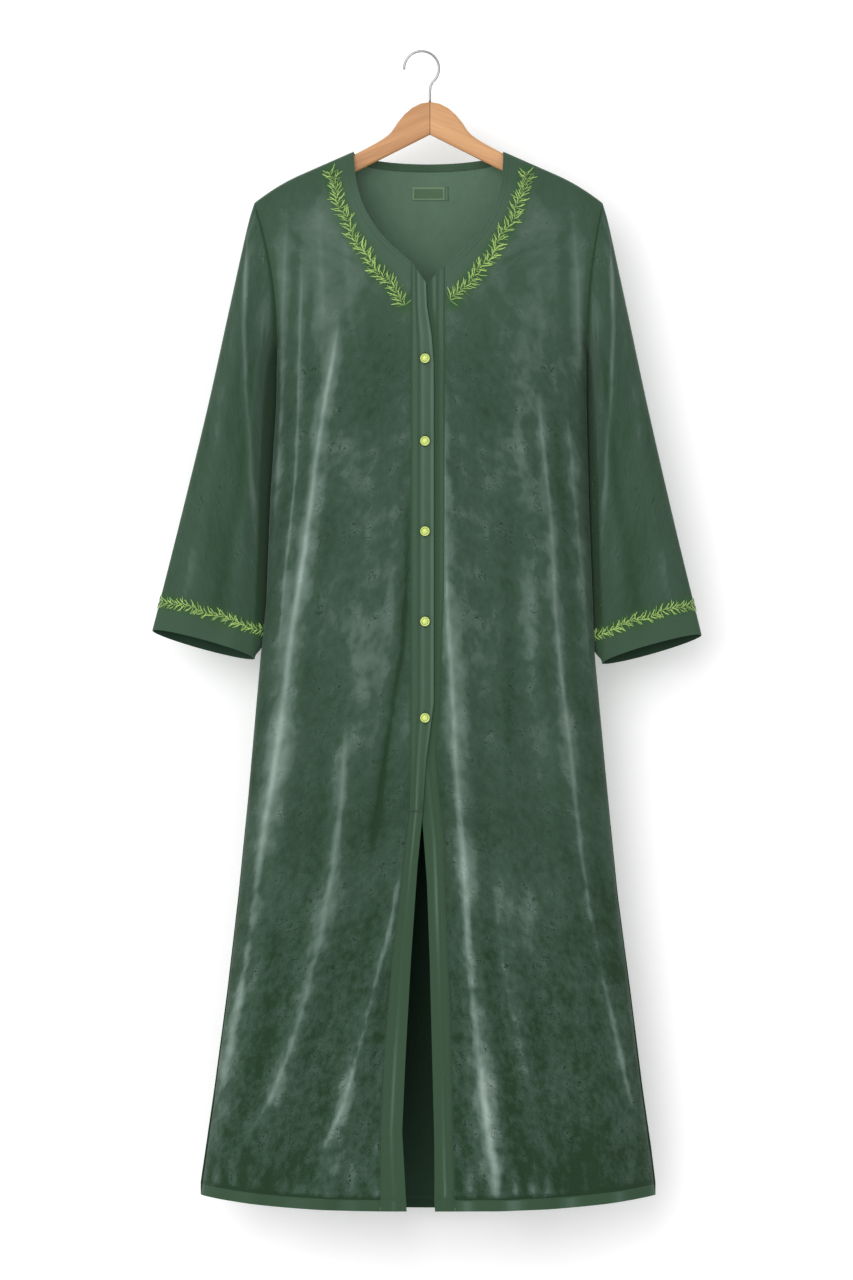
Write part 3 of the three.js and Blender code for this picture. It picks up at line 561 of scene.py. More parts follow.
def sleeve_marks(u, along):
    """The height of the fine creases on a sleeve, with the painted highlight on their crests and the
    painted shade beside them.
    """
    place = np.where(u <= 0.5, 2 * u, 2 - 2 * u)
    height = np.zeros(np.broadcast(u, along).shape)
    pile = np.zeros_like(height)
    for number, (start, end, at0, at1, spread, rise, painted_highlight, deep) in enumerate(SLEEVE_CREASES):
        share = np.clip((along - start) / (end - start), 0, 1)
        line = at0 + (at1 - at0) * share + 0.012 * np.sin(17 * along + 2 * number)
        line = np.where(u <= 0.5, line, 1 - 0.92 * line)
        fade = smooth(along, start - 0.04, start + 0.1) * smooth(along, end + 0.04, end - 0.12)
        away = (place - line) / spread
        bump = np.exp(-away * away)
        height = height + rise * fade * bump
        pile = pile + fade * (painted_highlight * bump - 0.5 * deep * bell(np.abs(away), 2.3, 1.3))
    # The gathered head's ripples get painted light and shade as well as height.
    gather = np.sin(2 * math.pi * 9 * place) * smooth(along, 0.13, 0) * smooth(place, 0.55, 0.1)
    return height + 0.7 * gather, pile + 0.1 * gather


def sleeve_point(side, u, along):
    t = np.where(u <= 0.5, 2 * u, 2 - 2 * u)
    face = np.where(u <= 0.5, -1.0, 1.0)
    share = (1 - np.cos(math.pi * t)) / 2
    settle = smooth(along, 0, 0.45)
    cuff = smooth(along, 0.6, 1)

    def ring(at, tilt, extra):
        arch = 2 * np.sqrt(np.maximum(0, share * (1 - share)))
        depth = ring_edge(side, "depth", at) * arch**0.8 + extra * arch
        for place, spread, rise in SLEEVE_FOLDS:
            middle = np.where(face < 0, place, 1 - place)
            depth = depth + rise * arch * bell(share, middle, spread)
        x0, x1 = ring_edge(side, "outer_x", at), ring_edge(side, "inner_x", at)
        z0, z1 = ring_edge(side, "outer_z", at), ring_edge(side, "inner_z", at)
        z = z0 + (z1 - z0) * share - face * CUFF_TILT * tilt * arch
        return np.stack([x0 + (x1 - x0) * share, face * depth, z], -1)

    root = armhole(side, share)
    seam = np.stack([root[..., 0], face * np.maximum(0, body_depth(root[..., 0], root[..., 1])),
                     root[..., 1]], -1)
    start = ring(np.zeros_like(along), 0, 0)
    creases = sleeve_marks(u, along)[0]
    placed = ring(along, cuff, creases) + (seam - start) * (1 - settle)[..., None]
    inner_x = ring_edge(side, "inner_x", along)
    gap = np.abs(inner_x) - half_width(inner_x, ring_edge(side, "inner_z", along))
    held = smooth(along, -0.03, 0.06) * smooth(along, 0.97, 0.89)
    rest = np.maximum(0, gap + 2.6) * held * bell(u, 0.545, 0.05)
    placed[..., 0] = placed[..., 0] - side * rest
    return placed


# ---------- from a surface to cloth ----------


def draw_in(points, gap, first=False, last=False, head=False, rows=slice(None)):
    """Draws the edges of a grid back from their seams by half the gap."""
    moves = []
    if first:
        moves.append(((rows, 0), (rows, 1)))
    if last:
        moves.append(((rows, -1), (rows, -2)))
    if head:
        moves.append(((0,), (1,)))
    for edge, inside in moves:
        inward = points[inside] - points[edge]
        length = np.linalg.norm(inward, axis=-1, keepdims=True)
        points[edge] = points[edge] + inward / np.maximum(length, 1e-6) * gap / 2
    return points


def add_values(mesh, name, values, kind="FLOAT", key="value"):
    """Gives each point of a mesh a value, or a vector."""
    layer = mesh.attributes.new(name, kind, "POINT")
    layer.data.foreach_set(key, np.asarray(values, np.float32).ravel())


def add_object(name, data):
    made = bpy.data.objects.new(name, data)
    bpy.context.scene.collection.objects.link(made)
    return made


def cloth(name, points, masks, closed=False, straight=0):
    """A grid of cloth through the points, with its masks and a map in metres; on the velvet the pile
    mask holds painted highlights and shade.

    Lengths across are measured from the straight column, lengths down from the top."""
    rows, columns = points.shape[:2]
    mesh = bpy.data.meshes.new(name)
    bm = bmesh.new()
    bm.loops.layers.uv.new("UVMap")
    bmesh.ops.create_grid(bm, x_segments=columns - 1, y_segments=rows - 1, size=0.5, calc_uvs=True)
    bm.to_mesh(mesh)
    bm.free()
    flat = np.zeros(len(mesh.vertices) * 3, np.float32)
    mesh.vertices.foreach_get("co", flat)
    flat = flat.reshape(-1, 3)
    i = np.rint((0.5 - flat[:, 1]) * (rows - 1)).astype(int)
    j = np.rint((flat[:, 0] + 0.5) * (columns - 1)).astype(int)
    placed = (points[i, j] + np.array([GARMENT_X, 0, 0])) * MM
    mesh.vertices.foreach_set("co", placed.astype(np.float32).ravel())
    for mask, values in masks.items():
        add_values(mesh, mask, values[i, j])
    across = np.zeros((rows, columns))
    across[:, 1:] = np.linalg.norm(np.diff(points, axis=1), axis=-1).cumsum(1)
    across = across - across[:, straight][:, None]
    down = np.zeros((rows, columns))
    down[1:] = np.linalg.norm(np.diff(points, axis=0), axis=-1).cumsum(0)
    corner = np.zeros(len(mesh.loops), int)
    mesh.loops.foreach_get("vertex_index", corner)
    uv = np.stack([across, -down], -1)[i, j][corner] * MM
    mesh.uv_layers[0].data.foreach_set("uv", uv.astype(np.float32).ravel())
    bm = bmesh.new()
    bm.from_mesh(mesh)
    if closed:
        rim = [v for v in bm.verts if v.is_boundary]
        bmesh.ops.remove_doubles(bm, verts=rim, dist=1e-6)
    bm.normal_update()
    outward = sum(f.normal.y * f.calc_center_median().y * f.calc_area() for f in bm.faces)
    if outward < 0:
        bmesh.ops.reverse_faces(bm, faces=bm.faces[:])
    for face in bm.faces:
        face.smooth = True
    for edge in bm.edges:
        edge.smooth = not edge.is_boundary
    bm.to_mesh(mesh)
    bm.free()
    return add_object(name, mesh)


def give_wall(piece, thickness, outside, inside):
    piece.data.materials.append(outside)
    piece.data.materials.append(inside)
    wall = piece.modifiers.new("Wall", "SOLIDIFY")
    wall.thickness = thickness
    wall.offset = -1
    wall.material_offset = 1
    wall.material_offset_rim = 0


def wear(piece, slot, *nodes):
    """The piece rides on the one body and stands for its nodes, which are hidden. The slot is not used.
    """
    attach(piece, "root")
    if nodes:
        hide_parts(*nodes)
    return piece


def polyline(points, step):
    """Points every step along a line, with the line's heading at each."""
    points = np.array(points, float)
    reach = np.concatenate([[0], np.cumsum(np.linalg.norm(np.diff(points, axis=0), axis=1))])
    count = max(2, int(round(reach[-1] / step)))
    at = (np.arange(count) + 0.5) / count * reach[-1]
    spots = np.stack([np.interp(at, reach, points[:, k]) for k in (0, 1)], -1)
    ahead = np.stack([np.interp(at + 1, reach, points[:, k]) for k in (0, 1)], -1)
    behind = np.stack([np.interp(at - 1, reach, points[:, k]) for k in (0, 1)], -1)
    heading = ahead - behind
    return spots, np.arctan2(heading[:, 1], heading[:, 0])


def vine_tint(side, x, z):
    spots = polyline(VINES[side], 3)[0]
    gaps = np.hypot(x[..., None] - spots[:, 0], z[..., None] - spots[:, 1]).min(-1)
    return np.exp(-((gaps / 12.5) ** 4))


# ---------- materials ----------

SHEEN_TINT = (0.72, 0.9, 0.8, 1)
JOINT_COLOUR = (0.18, 0.08, 0.03, 1)
# Heights in metres at which the painted shade on the inner side begins and at which it is deepest.
BACKING_SHADE_HEIGHTS = (-0.36, -0.82)
SLEEVE_BACKING_SHADE_HEIGHTS = (-0.2, -0.42)
WALL_GLOW = 0.2


def feed(node, inputs):
    """Links sockets to a node's inputs, or sets plain values on them."""
    for key, value in inputs.items():
        if isinstance(value, bpy.types.NodeSocket):
            node.id_data.links.new(value, node.inputs[key])
        else:
            node.inputs[key].default_value = value


def add_node(tree, kind, inputs=(), **settings):
    made = tree.nodes.new("ShaderNode" + kind)
    for key, value in settings.items():
        setattr(made, key, value)
    feed(made, dict(inputs))
    return made


def maths(tree, operation, *values):
    return add_node(tree, "Math", enumerate(values), operation=operation).outputs[0]


def sum_of(tree, *terms):
    """Adds terms of (socket, factor) and plain numbers."""
    total = None
    for term in terms:
        value, factor = term if isinstance(term, tuple) else (term, 1)
        if total is None:
            total = maths(tree, "MULTIPLY", value, factor)
        else:
            total = maths(tree, "MULTIPLY_ADD", value, factor, total)
    return total


def span(tree, value, low, high, at_low=0.0, at_high=1.0, **settings):
    """Stretches the values from low to high over another range, and stops at its ends."""
    inputs = {0: value, 1: low, 2: high, 3: at_low, 4: at_high}
    return add_node(tree, "MapRange", inputs, **settings).outputs[0]


def noise(tree, vector, scale, **inputs):
    """A noise texture's value. Its other inputs go by their own names."""
    return add_node(tree, "TexNoise", {"Vector": vector, "Scale": scale, **inputs}).outputs["Fac"]


def painted(tree, name, output="Fac"):
    """What the mesh carries at its points under this name."""
    return add_node(tree, "Attribute", attribute_name=name).outputs[output]


def cloth_map(tree):
    return add_node(tree, "UVMap", uv_map="UVMap").outputs[0]


def own_place(tree):
    return add_node(tree, "TexCoord").outputs["Object"]


def relief(tree, height, distance):
    return add_node(tree, "Bump", {"Height": height, "Distance": distance}).outputs[0]


def ramp(tree, factor, stops):
    made = add_node(tree, "ValToRGB", {"Fac": factor})
    for element, (place, colour) in zip(made.color_ramp.elements, stops):
        element.position = place
        element.color = colour
    return made.outputs["Color"]


def mix(tree, factor, a, b):
    return add_node(tree, "Mix", {0: factor, 6: a, 7: b}, data_type="RGBA").outputs[2]


def new_group(name, inputs, outputs):
    group = bpy.data.node_groups.new(name, "ShaderNodeTree")
    for label, kind, default in inputs:
        socket = group.interface.new_socket(label, in_out="INPUT", socket_type=kind)
        if default is not None:
            socket.default_value = default
    for label, kind in outputs:
        group.interface.new_socket(label, in_out="OUTPUT", socket_type=kind)
    start = group.nodes.new("NodeGroupInput")
    end = group.nodes.new("NodeGroupOutput")
    return group, start.outputs, end


def pile_group():
    """Crushed pile: colour, height and roughness from patches, crush marks and flecks, and the mesh's
    painted highlights and shade.
    """
    name = "Crushed pile"
    if name in bpy.data.node_groups:
        return bpy.data.node_groups[name]
    group, given, end = new_group(name, [
        ("Vector", "NodeSocketVector", None),
        ("Pile", "NodeSocketFloat", 0.0),
        ("Smooth", "NodeSocketFloat", 0.0),
        ("Deep", "NodeSocketColor", (0.02, 0.05, 0.03, 1)),
        ("Mid", "NodeSocketColor", (0.05, 0.09, 0.06, 1)),
        ("Light", "NodeSocketColor", (0.2, 0.3, 0.25, 1)),
    ], [("Colour", "NodeSocketColor"), ("Height", "NodeSocketFloat"),
        ("Roughness", "NodeSocketFloat")])
    tall = add_node(group, "Mapping", {0: given["Vector"], "Scale": (1, 0.7, 1)}).outputs[0]
    patches = noise(group, tall, 12, Detail=1, Roughness=0.5)
    blotch = noise(group, tall, 46, Detail=2, Roughness=0.5, Distortion=0.2)
    crush = noise(group, tall, 120, Detail=2, Roughness=0.6)
    tufts = noise(group, given["Vector"], 520, Detail=2, Roughness=0.6)
    bruise = noise(group, given["Vector"], 74, Detail=2, Roughness=0.6)
    off_line = maths(group, "ABSOLUTE", sum_of(group, bruise, -0.5))
    thin = span(group, off_line, 0.0, 0.014, 1.0, 0.0)
    ticks = maths(group, "MULTIPLY", thin, span(group, blotch, 0.55, 0.66))
    wild = sum_of(group, (given["Smooth"], -0.85), 1.0)
    soft = sum_of(group, (patches, 0.5), (blotch, 0.5), -0.5)
    fine = sum_of(group, (crush, 0.3), (tufts, 0.2), (ticks, -0.45), -0.23)
    soft = maths(group, "MULTIPLY", soft, wild)
    fine = maths(group, "MULTIPLY", fine, wild)
    # Painted highlight and painted shade from the mesh's mask, broken up a little by the blotches.
    painted_light = maths(group, "MULTIPLY", given["Pile"], span(group, blotch, 0.3, 0.7, 0.9, 1.1))
    light = sum_of(group, (soft, 0.8), (fine, 0.22), (painted_light, 0.42), 0.36)
    low = span(group, sum_of(group, light, (fine, 0.9)), 0.0, 0.4)
    high = span(group, light, 0.33, 1.05)
    dark = mix(group, low, given["Deep"], given["Mid"])
    feed(end, {
        "Colour": mix(group, high, dark, given["Light"]),
        "Height": sum_of(group, (fine, 0.6), (tufts, 0.35)),
        "Roughness": sum_of(group, (fine, -0.2), 0.86),
    })
    return group


def thread_group():
    """Fine twisted strands along a sewn mark."""
    name = "Thread strands"
    if name in bpy.data.node_groups:
        return bpy.data.node_groups[name]
    group, given, end = new_group(name, [
        ("Vector", "NodeSocketVector", None),
        ("Shade", "NodeSocketFloat", 0.5),
        ("Dark", "NodeSocketColor", (0.1, 0.3, 0.05, 1)),
        ("Bright", "NodeSocketColor", (0.4, 0.7, 0.2, 1)),
    ], [("Colour", "NodeSocketColor"), ("Height", "NodeSocketFloat")])
    strands = add_node(group, "TexWave", {"Vector": given["Vector"], "Scale": 1.6,
                                          "Distortion": 1.2, "Detail": 2},
                       wave_type="BANDS", bands_direction="DIAGONAL").outputs["Fac"]
    level = sum_of(group, (strands, 0.35), (given["Shade"], 0.7), -0.05)
    feed(end, {"Colour": mix(group, level, given["Dark"], given["Bright"]), "Height": strands})
    return group


def new_material(name):
    """A new material, its tree and its Principled shader."""
    made = bpy.data.materials.new(name)
    made.use_nodes = True
    return made, made.node_tree, made.node_tree.nodes["Principled BSDF"]


def add_pile(tree, deep, mid, light, laid_flat):
    """The crushed pile's texture on the cloth's own map, in three colours."""
    inputs = {"Vector": cloth_map(tree), "Deep": deep, "Mid": mid, "Light": light,
              "Smooth": laid_flat}
    return add_node(tree, "Group", inputs, node_tree=pile_group())


def pile_material(name, deep, mid, light, sheen, laid_flat=0.0, marks=True):
    """Velvet or its smooth facing, by how far the pile is laid flat."""
    if name in bpy.data.materials:
        return bpy.data.materials[name]
    looks = bpy.context.scene.abaya_colours
    made, tree, shader = new_material(name)
    pile = add_pile(tree, deep, mid, light, laid_flat)
    colour = pile.outputs["Colour"]
    if marks:
        flat = painted(tree, "smooth")
        # The pile mask brings in painted highlights and painted shade.
        feed(pile, {"Pile": painted(tree, "pile"), "Smooth": flat})
        colour = mix(tree, sum_of(tree, (flat, 0.6)), colour, looks.facing)
        colour = mix(tree, sum_of(tree, (painted(tree, "vine"), 0.6)), colour, looks.vine_tint)
    feed(shader, {
        "Base Color": colour,
        "Roughness": pile.outputs["Roughness"],
        "Sheen Weight": sheen,
        "Sheen Roughness": 0.4,
        "Sheen Tint": SHEEN_TINT,
        "Specular IOR Level": 0.15,
        "Normal": relief(tree, pile.outputs["Height"], 0.0016),
    })
    return made


def backing_material(name, heights):
    """The cloth's inner side, with painted shade deepening from the first height down to the second."""
    if name in bpy.data.materials:
        return bpy.data.materials[name]
    looks = bpy.context.scene.abaya_colours
    made, tree, shader = new_material(name)
    pile = add_pile(tree, looks.facing, looks.backing, looks.facing_light, 0.8)
    height = add_node(tree, "SeparateXYZ", {0: own_place(tree)}).outputs["Z"]
    depth = span(tree, height, *heights, interpolation_type="SMOOTHSTEP")
    feed(shader, {
        "Base Color": mix(tree, depth, pile.outputs["Colour"], looks.backing_painted_shade),
        "Roughness": pile.outputs["Roughness"],
        "Specular IOR Level": 0.12,
        "Normal": relief(tree, pile.outputs["Height"], 0.0006),
    })
    return made


def cloth_materials():
    """The velvet, its smooth facing and the cloth's inner side."""
    looks = bpy.context.scene.abaya_colours
    velvet = pile_material("Velvet", looks.velvet_deep_and_shade, looks.velvet, looks.velvet_light_and_highlight, 0.25)
    facing = pile_material("Facing", looks.velvet, looks.facing, looks.facing_light, 0.15, 0.8, False)
    return velvet, facing, backing_material("Backing", BACKING_SHADE_HEIGHTS)


def label_material():
    """A woven ribbon with a paler line round its edge."""
    looks = bpy.context.scene.abaya_colours
    made, tree, shader = new_material("Label ribbon")
    weave = add_node(tree, "TexWave", {"Vector": cloth_map(tree), "Scale": 480, "Distortion": 0.6,
                                       "Detail": 1}, bands_direction="Y").outputs["Fac"]
    colour = mix(tree, weave, looks.label_deep, looks.label)
    feed(shader, {
        "Base Color": mix(tree, painted(tree, "pile"), colour, looks.label_line),
        "Roughness": sum_of(tree, (weave, 0.2), 0.45),
        "Normal": relief(tree, weave, 0.0001),
    })
    return made


def thread_material(name, dark, bright, roughness):
    made, tree, shader = new_material(name)
    inputs = {"Vector": painted(tree, "thread", "Vector"), "Shade": painted(tree, "shade"),
              "Dark": dark, "Bright": bright}
    strands = add_node(tree, "Group", inputs, node_tree=thread_group())
    feed(shader, {
        "Base Color": strands.outputs["Colour"],
        "Roughness": roughness,
        "Sheen Weight": 0.3,
        "Normal": relief(tree, strands.outputs["Height"], 0.0001),
    })
    return made


def pearl_material():
    looks = bpy.context.scene.abaya_colours
    made, tree, shader = new_material("Pearl button")
    swirl = noise(tree, own_place(tree), 320, Detail=3, Distortion=1.5)
    colour = ramp(tree, swirl, [(0.3, looks.pearl_deep), (0.62, looks.pearl)])
    feed(shader, {
        # Painted shade in the groove, at the middle and under the rim.
        "Base Color": mix(tree, painted(tree, "groove"), colour, looks.pearl_groove_shade),
        "Roughness": sum_of(tree, (swirl, 0.2), 0.18),
        "Coat Weight": 0.4,
        "Subsurface Weight": 0.1,
        "Subsurface Radius": (0.002, 0.002, 0.001),
        "Normal": relief(tree, swirl, 0.00015),
    })
    return made


def wood_material():
    """Grain along each arm, with a joint where the two halves meet, and the wearer's right arm painted
    darker as painted shade.
    """
    looks = bpy.context.scene.abaya_colours
    made, tree, shader = new_material("Hanger wood")
    around = add_node(tree, "Mapping", {0: own_place(tree), "Location": (-HANGER_X * MM, 0, 0)})
    x, y, z = add_node(tree, "SeparateXYZ", {0: around.outputs[0]}).outputs
    from_middle = maths(tree, "ABSOLUTE", x)
    slope = sum_of(tree, (from_middle, 0.42), z)
    grain_at = add_node(tree, "CombineXYZ", {0: sum_of(tree, (x, 0.06)), 1: y, 2: slope}).outputs[0]
    grain = noise(tree, grain_at, 260, Detail=4, Roughness=0.65, Distortion=0.3)
    broad = noise(tree, grain_at, 45, Detail=2)
    # Painted shade: the wearer's right arm is painted darker than the left.
    right_half_shade = maths(tree, "LESS_THAN", x, 0.0)
    joint = span(tree, from_middle, 0.0002, 0.0007, 1.0, 0.0)
    level = sum_of(tree, (grain, 0.5), (broad, 0.5), (right_half_shade, -0.16))
    colour = ramp(tree, level, [(0.2, looks.wood_deep), (0.62, looks.wood)])
    feed(shader, {
        "Base Color": mix(tree, joint, colour, JOINT_COLOUR),
        "Roughness": sum_of(tree, (grain, 0.2), 0.3),
        "Coat Weight": 0.25,
        "Coat Roughness": 0.25,
        "Normal": relief(tree, sum_of(tree, (grain, 0.25), (joint, -1.0)), 0.0003),
    })
    return made


def steel_material():
    looks = bpy.context.scene.abaya_colours
    made, tree, shader = new_material("Hook steel")
    marks = noise(tree, own_place(tree), 900, Detail=3)
    feed(shader, {
        "Base Color": ramp(tree, marks, [(0.3, looks.steel_deep), (0.7, looks.steel)]),
        "Roughness": sum_of(tree, (marks, 0.15), 0.16),
        "Metallic": 1.0,
        "Normal": relief(tree, marks, 0.00002),
    })
    return made


def wall_material(name, colour):
    """Plain paint that only the camera sees, and only from the front. All else passes through."""
    made, tree, shader = new_material(name)
    speck = noise(tree, own_place(tree), 60)
    paler = tuple(min(1, c * 1.008) for c in colour[:3]) + (1,)
    feed(shader, {
        "Base Color": ramp(tree, speck, [(0.4, colour), (0.6, paler)]),
        "Roughness": 0.95,
        "Specular IOR Level": 0.1,
        "Emission Color": (1, 1, 1, 1),
        "Emission Strength": WALL_GLOW,
    })
    behind = add_node(tree, "NewGeometry").outputs["Backfacing"]
    unseen = maths(tree, "SUBTRACT", 1.0, add_node(tree, "LightPath").outputs["Is Camera Ray"])
    clear = add_node(tree, "BsdfTransparent").outputs[0]
    both = add_node(tree, "MixShader", {0: maths(tree, "MAXIMUM", behind, unseen),
                                        1: shader.outputs[0], 2: clear})
    feed(tree.nodes["Material Output"], {"Surface": both.outputs[0]})
    return made


# ---------- sewn marks ----------

LENS_SIDES = 6
LENS_RINGS = 4
# Distance over which a surface's slope is taken.
SLOPE_STEP = 0.3
# Space between the lenses while they are copied, in lens radii.
LENS_STEP = 4
# Leaves at one place on a vine: lean from the stem, share of the vine's half width, slip, shade.
LEAF_TIERS = ((0.85, 1.05, 0.0, 0.45), (0.4, 0.8, 3.2, 0.2), (1.25, 0.85, 1.4, -0.15))


def lay_on(surface, a, b, across, along, height):
    """Points laid on a surface at small distances from (a, b), and lifted off it."""
    here = surface(a, b)
    pa = (surface(a + SLOPE_STEP, b) - here) / SLOPE_STEP
    pb = (surface(a, b + SLOPE_STEP) - here) / SLOPE_STEP
    ea = pa / np.linalg.norm(pa, axis=-1, keepdims=True)
    normal = np.cross(pa, pb)
    normal = normal / np.linalg.norm(normal, axis=-1, keepdims=True)
    normal = normal * np.sign(np.sum(normal[..., 1] * here[..., 1]))
    eb = pb - ea * np.sum(pb * ea, -1, keepdims=True)
    eb_length = np.linalg.norm(eb, axis=-1, keepdims=True)
    eb = eb / eb_length
    skew = np.sum(pb * ea, -1)
    db = along / eb_length[..., 0]
    da = (across - skew * db) / np.linalg.norm(pa, axis=-1)
    return surface(a + da, b + db) + normal * height[..., None]


def sew(name, surface, marks, material, lift=0.25):
    """One closed lens of thread for each mark: (a, b, heading, length, width, height, shade, curl)."""
    marks = np.array(marks, float)
    mesh = bpy.data.meshes.new(name)
    bm = bmesh.new()
    bmesh.ops.create_uvsphere(bm, u_segments=LENS_SIDES, v_segments=LENS_RINGS, radius=1)
    made = 1
    while made < len(marks):
        copied = bmesh.ops.duplicate(bm, geom=bm.verts[:] + bm.edges[:] + bm.faces[:])
        verts = [item for item in copied["geom"] if isinstance(item, bmesh.types.BMVert)]
        bmesh.ops.translate(bm, verts=verts, vec=(LENS_STEP * made, 0, 0))
        made *= 2
    spare = [v for v in bm.verts if v.co.x > LENS_STEP * (len(marks) - 0.5)]
    bmesh.ops.delete(bm, geom=spare, context="VERTS")
    for face in bm.faces:
        face.smooth = True
    bm.to_mesh(mesh)
    bm.free()
    unit = np.zeros(len(mesh.vertices) * 3, np.float32)
    mesh.vertices.foreach_get("co", unit)
    unit = unit.reshape(-1, 3).astype(float)
    number = np.rint(unit[:, 0] / LENS_STEP).astype(int)
    unit[:, 0] = unit[:, 0] - LENS_STEP * number
    a, b, heading, length, width, height, shade, curl = (marks[number, k] for k in range(8))
    along = unit[:, 2] * length / 2
    across = unit[:, 0] * width / 2 + curl * length * (unit[:, 2] ** 2 - 0.5)
    raised = unit[:, 1] * height / 2 + height / 2 + lift
    cos, sin = np.cos(heading), np.sin(heading)
    placed = lay_on(surface, a, b, along * cos - across * sin, along * sin + across * cos, raised)
    placed = (placed + np.array([GARMENT_X, 0, 0])) * MM
    mesh.vertices.foreach_set("co", placed.reshape(-1).astype(np.float32))
    local = np.stack([along, across, raised], -1).reshape(-1, 3)
    add_values(mesh, "thread", local, "FLOAT_VECTOR", "vector")
    add_values(mesh, "shade", shade)
    bm = bmesh.new()
    bm.from_mesh(mesh)
    bmesh.ops.recalc_face_normals(bm, faces=bm.faces[:])
    bm.to_mesh(mesh)
    bm.free()
    mesh.materials.append(material)
    return add_object(name, mesh)


def hashed(n, salt):
    """A repeatable uneven number from 0 to 1."""
    value = math.sin(n * 127.1 + salt * 311.7) * 43758.5453
    return value - math.floor(value)


def vine_marks(spots, headings, reach, sizes):
    """A wavy stem with fern-like pairs of slender leaves that point back along it, as marks."""
    marks = []
    thick = sizes.leaf_width / MM
    for n, ((a, b), heading) in enumerate(zip(spots, headings)):
        sway = 0.16 * reach * math.sin(n * 0.8)
        a0 = a - sway * math.sin(heading)
        b0 = b + sway * math.cos(heading)
        marks.append((a0, b0, heading + 0.35 * math.cos(n * 0.8), 7.4, 0.8, 0.7, 0.2, 0.0))
        for side in (-1, 1):
            for tier, (lean, size, slip, painted_highlight) in enumerate(LEAF_TIERS):
                seed = n * 8 + tier * 2 + (side > 0)
                turn = heading + math.pi - side * (lean + 0.6 * (hashed(seed, 1) - 0.5))
                long = reach * size * (0.75 + 0.4 * hashed(seed, 4))
                root = slip + 2.6 * (hashed(seed, 3) - 0.5)
                ax = a0 + root * math.cos(heading) + long * 0.55 * math.cos(turn)
                bx = b0 + root * math.sin(heading) + long * 0.55 * math.sin(turn)
                wide = thick * (0.7 + 0.6 * hashed(seed, 7))
                curl = side * 0.22 * (hashed(seed, 6) - 0.35)
                marks.append((ax, bx, turn, long, wide, 0.9, painted_highlight + 0.8 * hashed(seed, 5), curl))
    return marks


def stitch_marks(points, sizes):
    length = sizes.stitch_length / MM
    spots, headings = polyline(points, length + sizes.stitch_gap / MM)
    thread = sizes.thread / MM
    return [(a, b, heading, length, thread, thread * 0.8, 0.5, 0.0)
            for (a, b), heading in zip(spots, headings)]


def front_surface(lap):
    sizes = bpy.context.scene.abaya_cloth
    return lambda x, z: front_point(x, z, lap, sizes)


def back_surface():
    sizes = bpy.context.scene.abaya_cloth
    return lambda x, z: back_point(x, z, sizes)


def sleeve_surface(side, girth):
    """A sleeve measured in millimetres round the ring and down its length."""

    def at(a, b):
        return sleeve_point(side, np.mod(a / girth, 1.0), np.clip(b / SLEEVE_LENGTH, 0, 1))

    return at


def link_mesh(name, bm, smooth_faces=True):
    for face in bm.faces:
        face.smooth = smooth_faces
    mesh = bpy.data.meshes.new(name)
    bm.to_mesh(mesh)
    bm.free()
    return add_object(name, mesh)


# ---------- what a user may change ----------


def length_prop(name, description, default):
    return bpy.props.FloatProperty(name=name, description=description, default=default, min=0,
                                   max=1, precision=4, subtype="DISTANCE", unit="LENGTH")


def colour_prop(name, description, red, green, blue):
    linear = [((c / 255 + 0.055) / 1.055) ** 2.4 for c in (red, green, blue)]
    return bpy.props.FloatVectorProperty(name=name, description=description, size=4, min=0, max=1,
                                         default=(*linear, 1), subtype="COLOR")


class AbayaCloth(bpy.types.PropertyGroup):
    wall: length_prop("Cloth", "Thickness of the velvet with its pile", 0.0015)
    seam_gap: length_prop("Seam gap", "Space between two pieces sewn together", 0.0001)
    hem_band: length_prop("Hem", "Height of the turned-up hem", 0.015)
    hem_rise: length_prop("Hem step", "How far the turned-up hem stands proud", 0.0006)
    neck_facing: length_prop("Neck facing", "Width of the smooth strip along the neckline", 0.029)
    cuff_facing: length_prop("Cuff facing", "Height of the smooth strip at the cuff", 0.034)


class AbayaTrim(bpy.types.PropertyGroup):
    leaf_width: length_prop("Leaf width", "Width of an embroidered leaf", 0.0014)
    vine_width: length_prop("Vine", "Width of the vine along the neckline", 0.028)
    cuff_vine: length_prop("Cuff vine", "Width of the vine round a cuff", 0.0235)
    stitch_length: length_prop("Stitch", "Length of one topstitch", 0.0026)
    stitch_gap: length_prop("Stitch gap", "Space between two topstitches", 0.0009)
    thread: length_prop("Thread", "Thickness of the sewing thread", 0.0005)


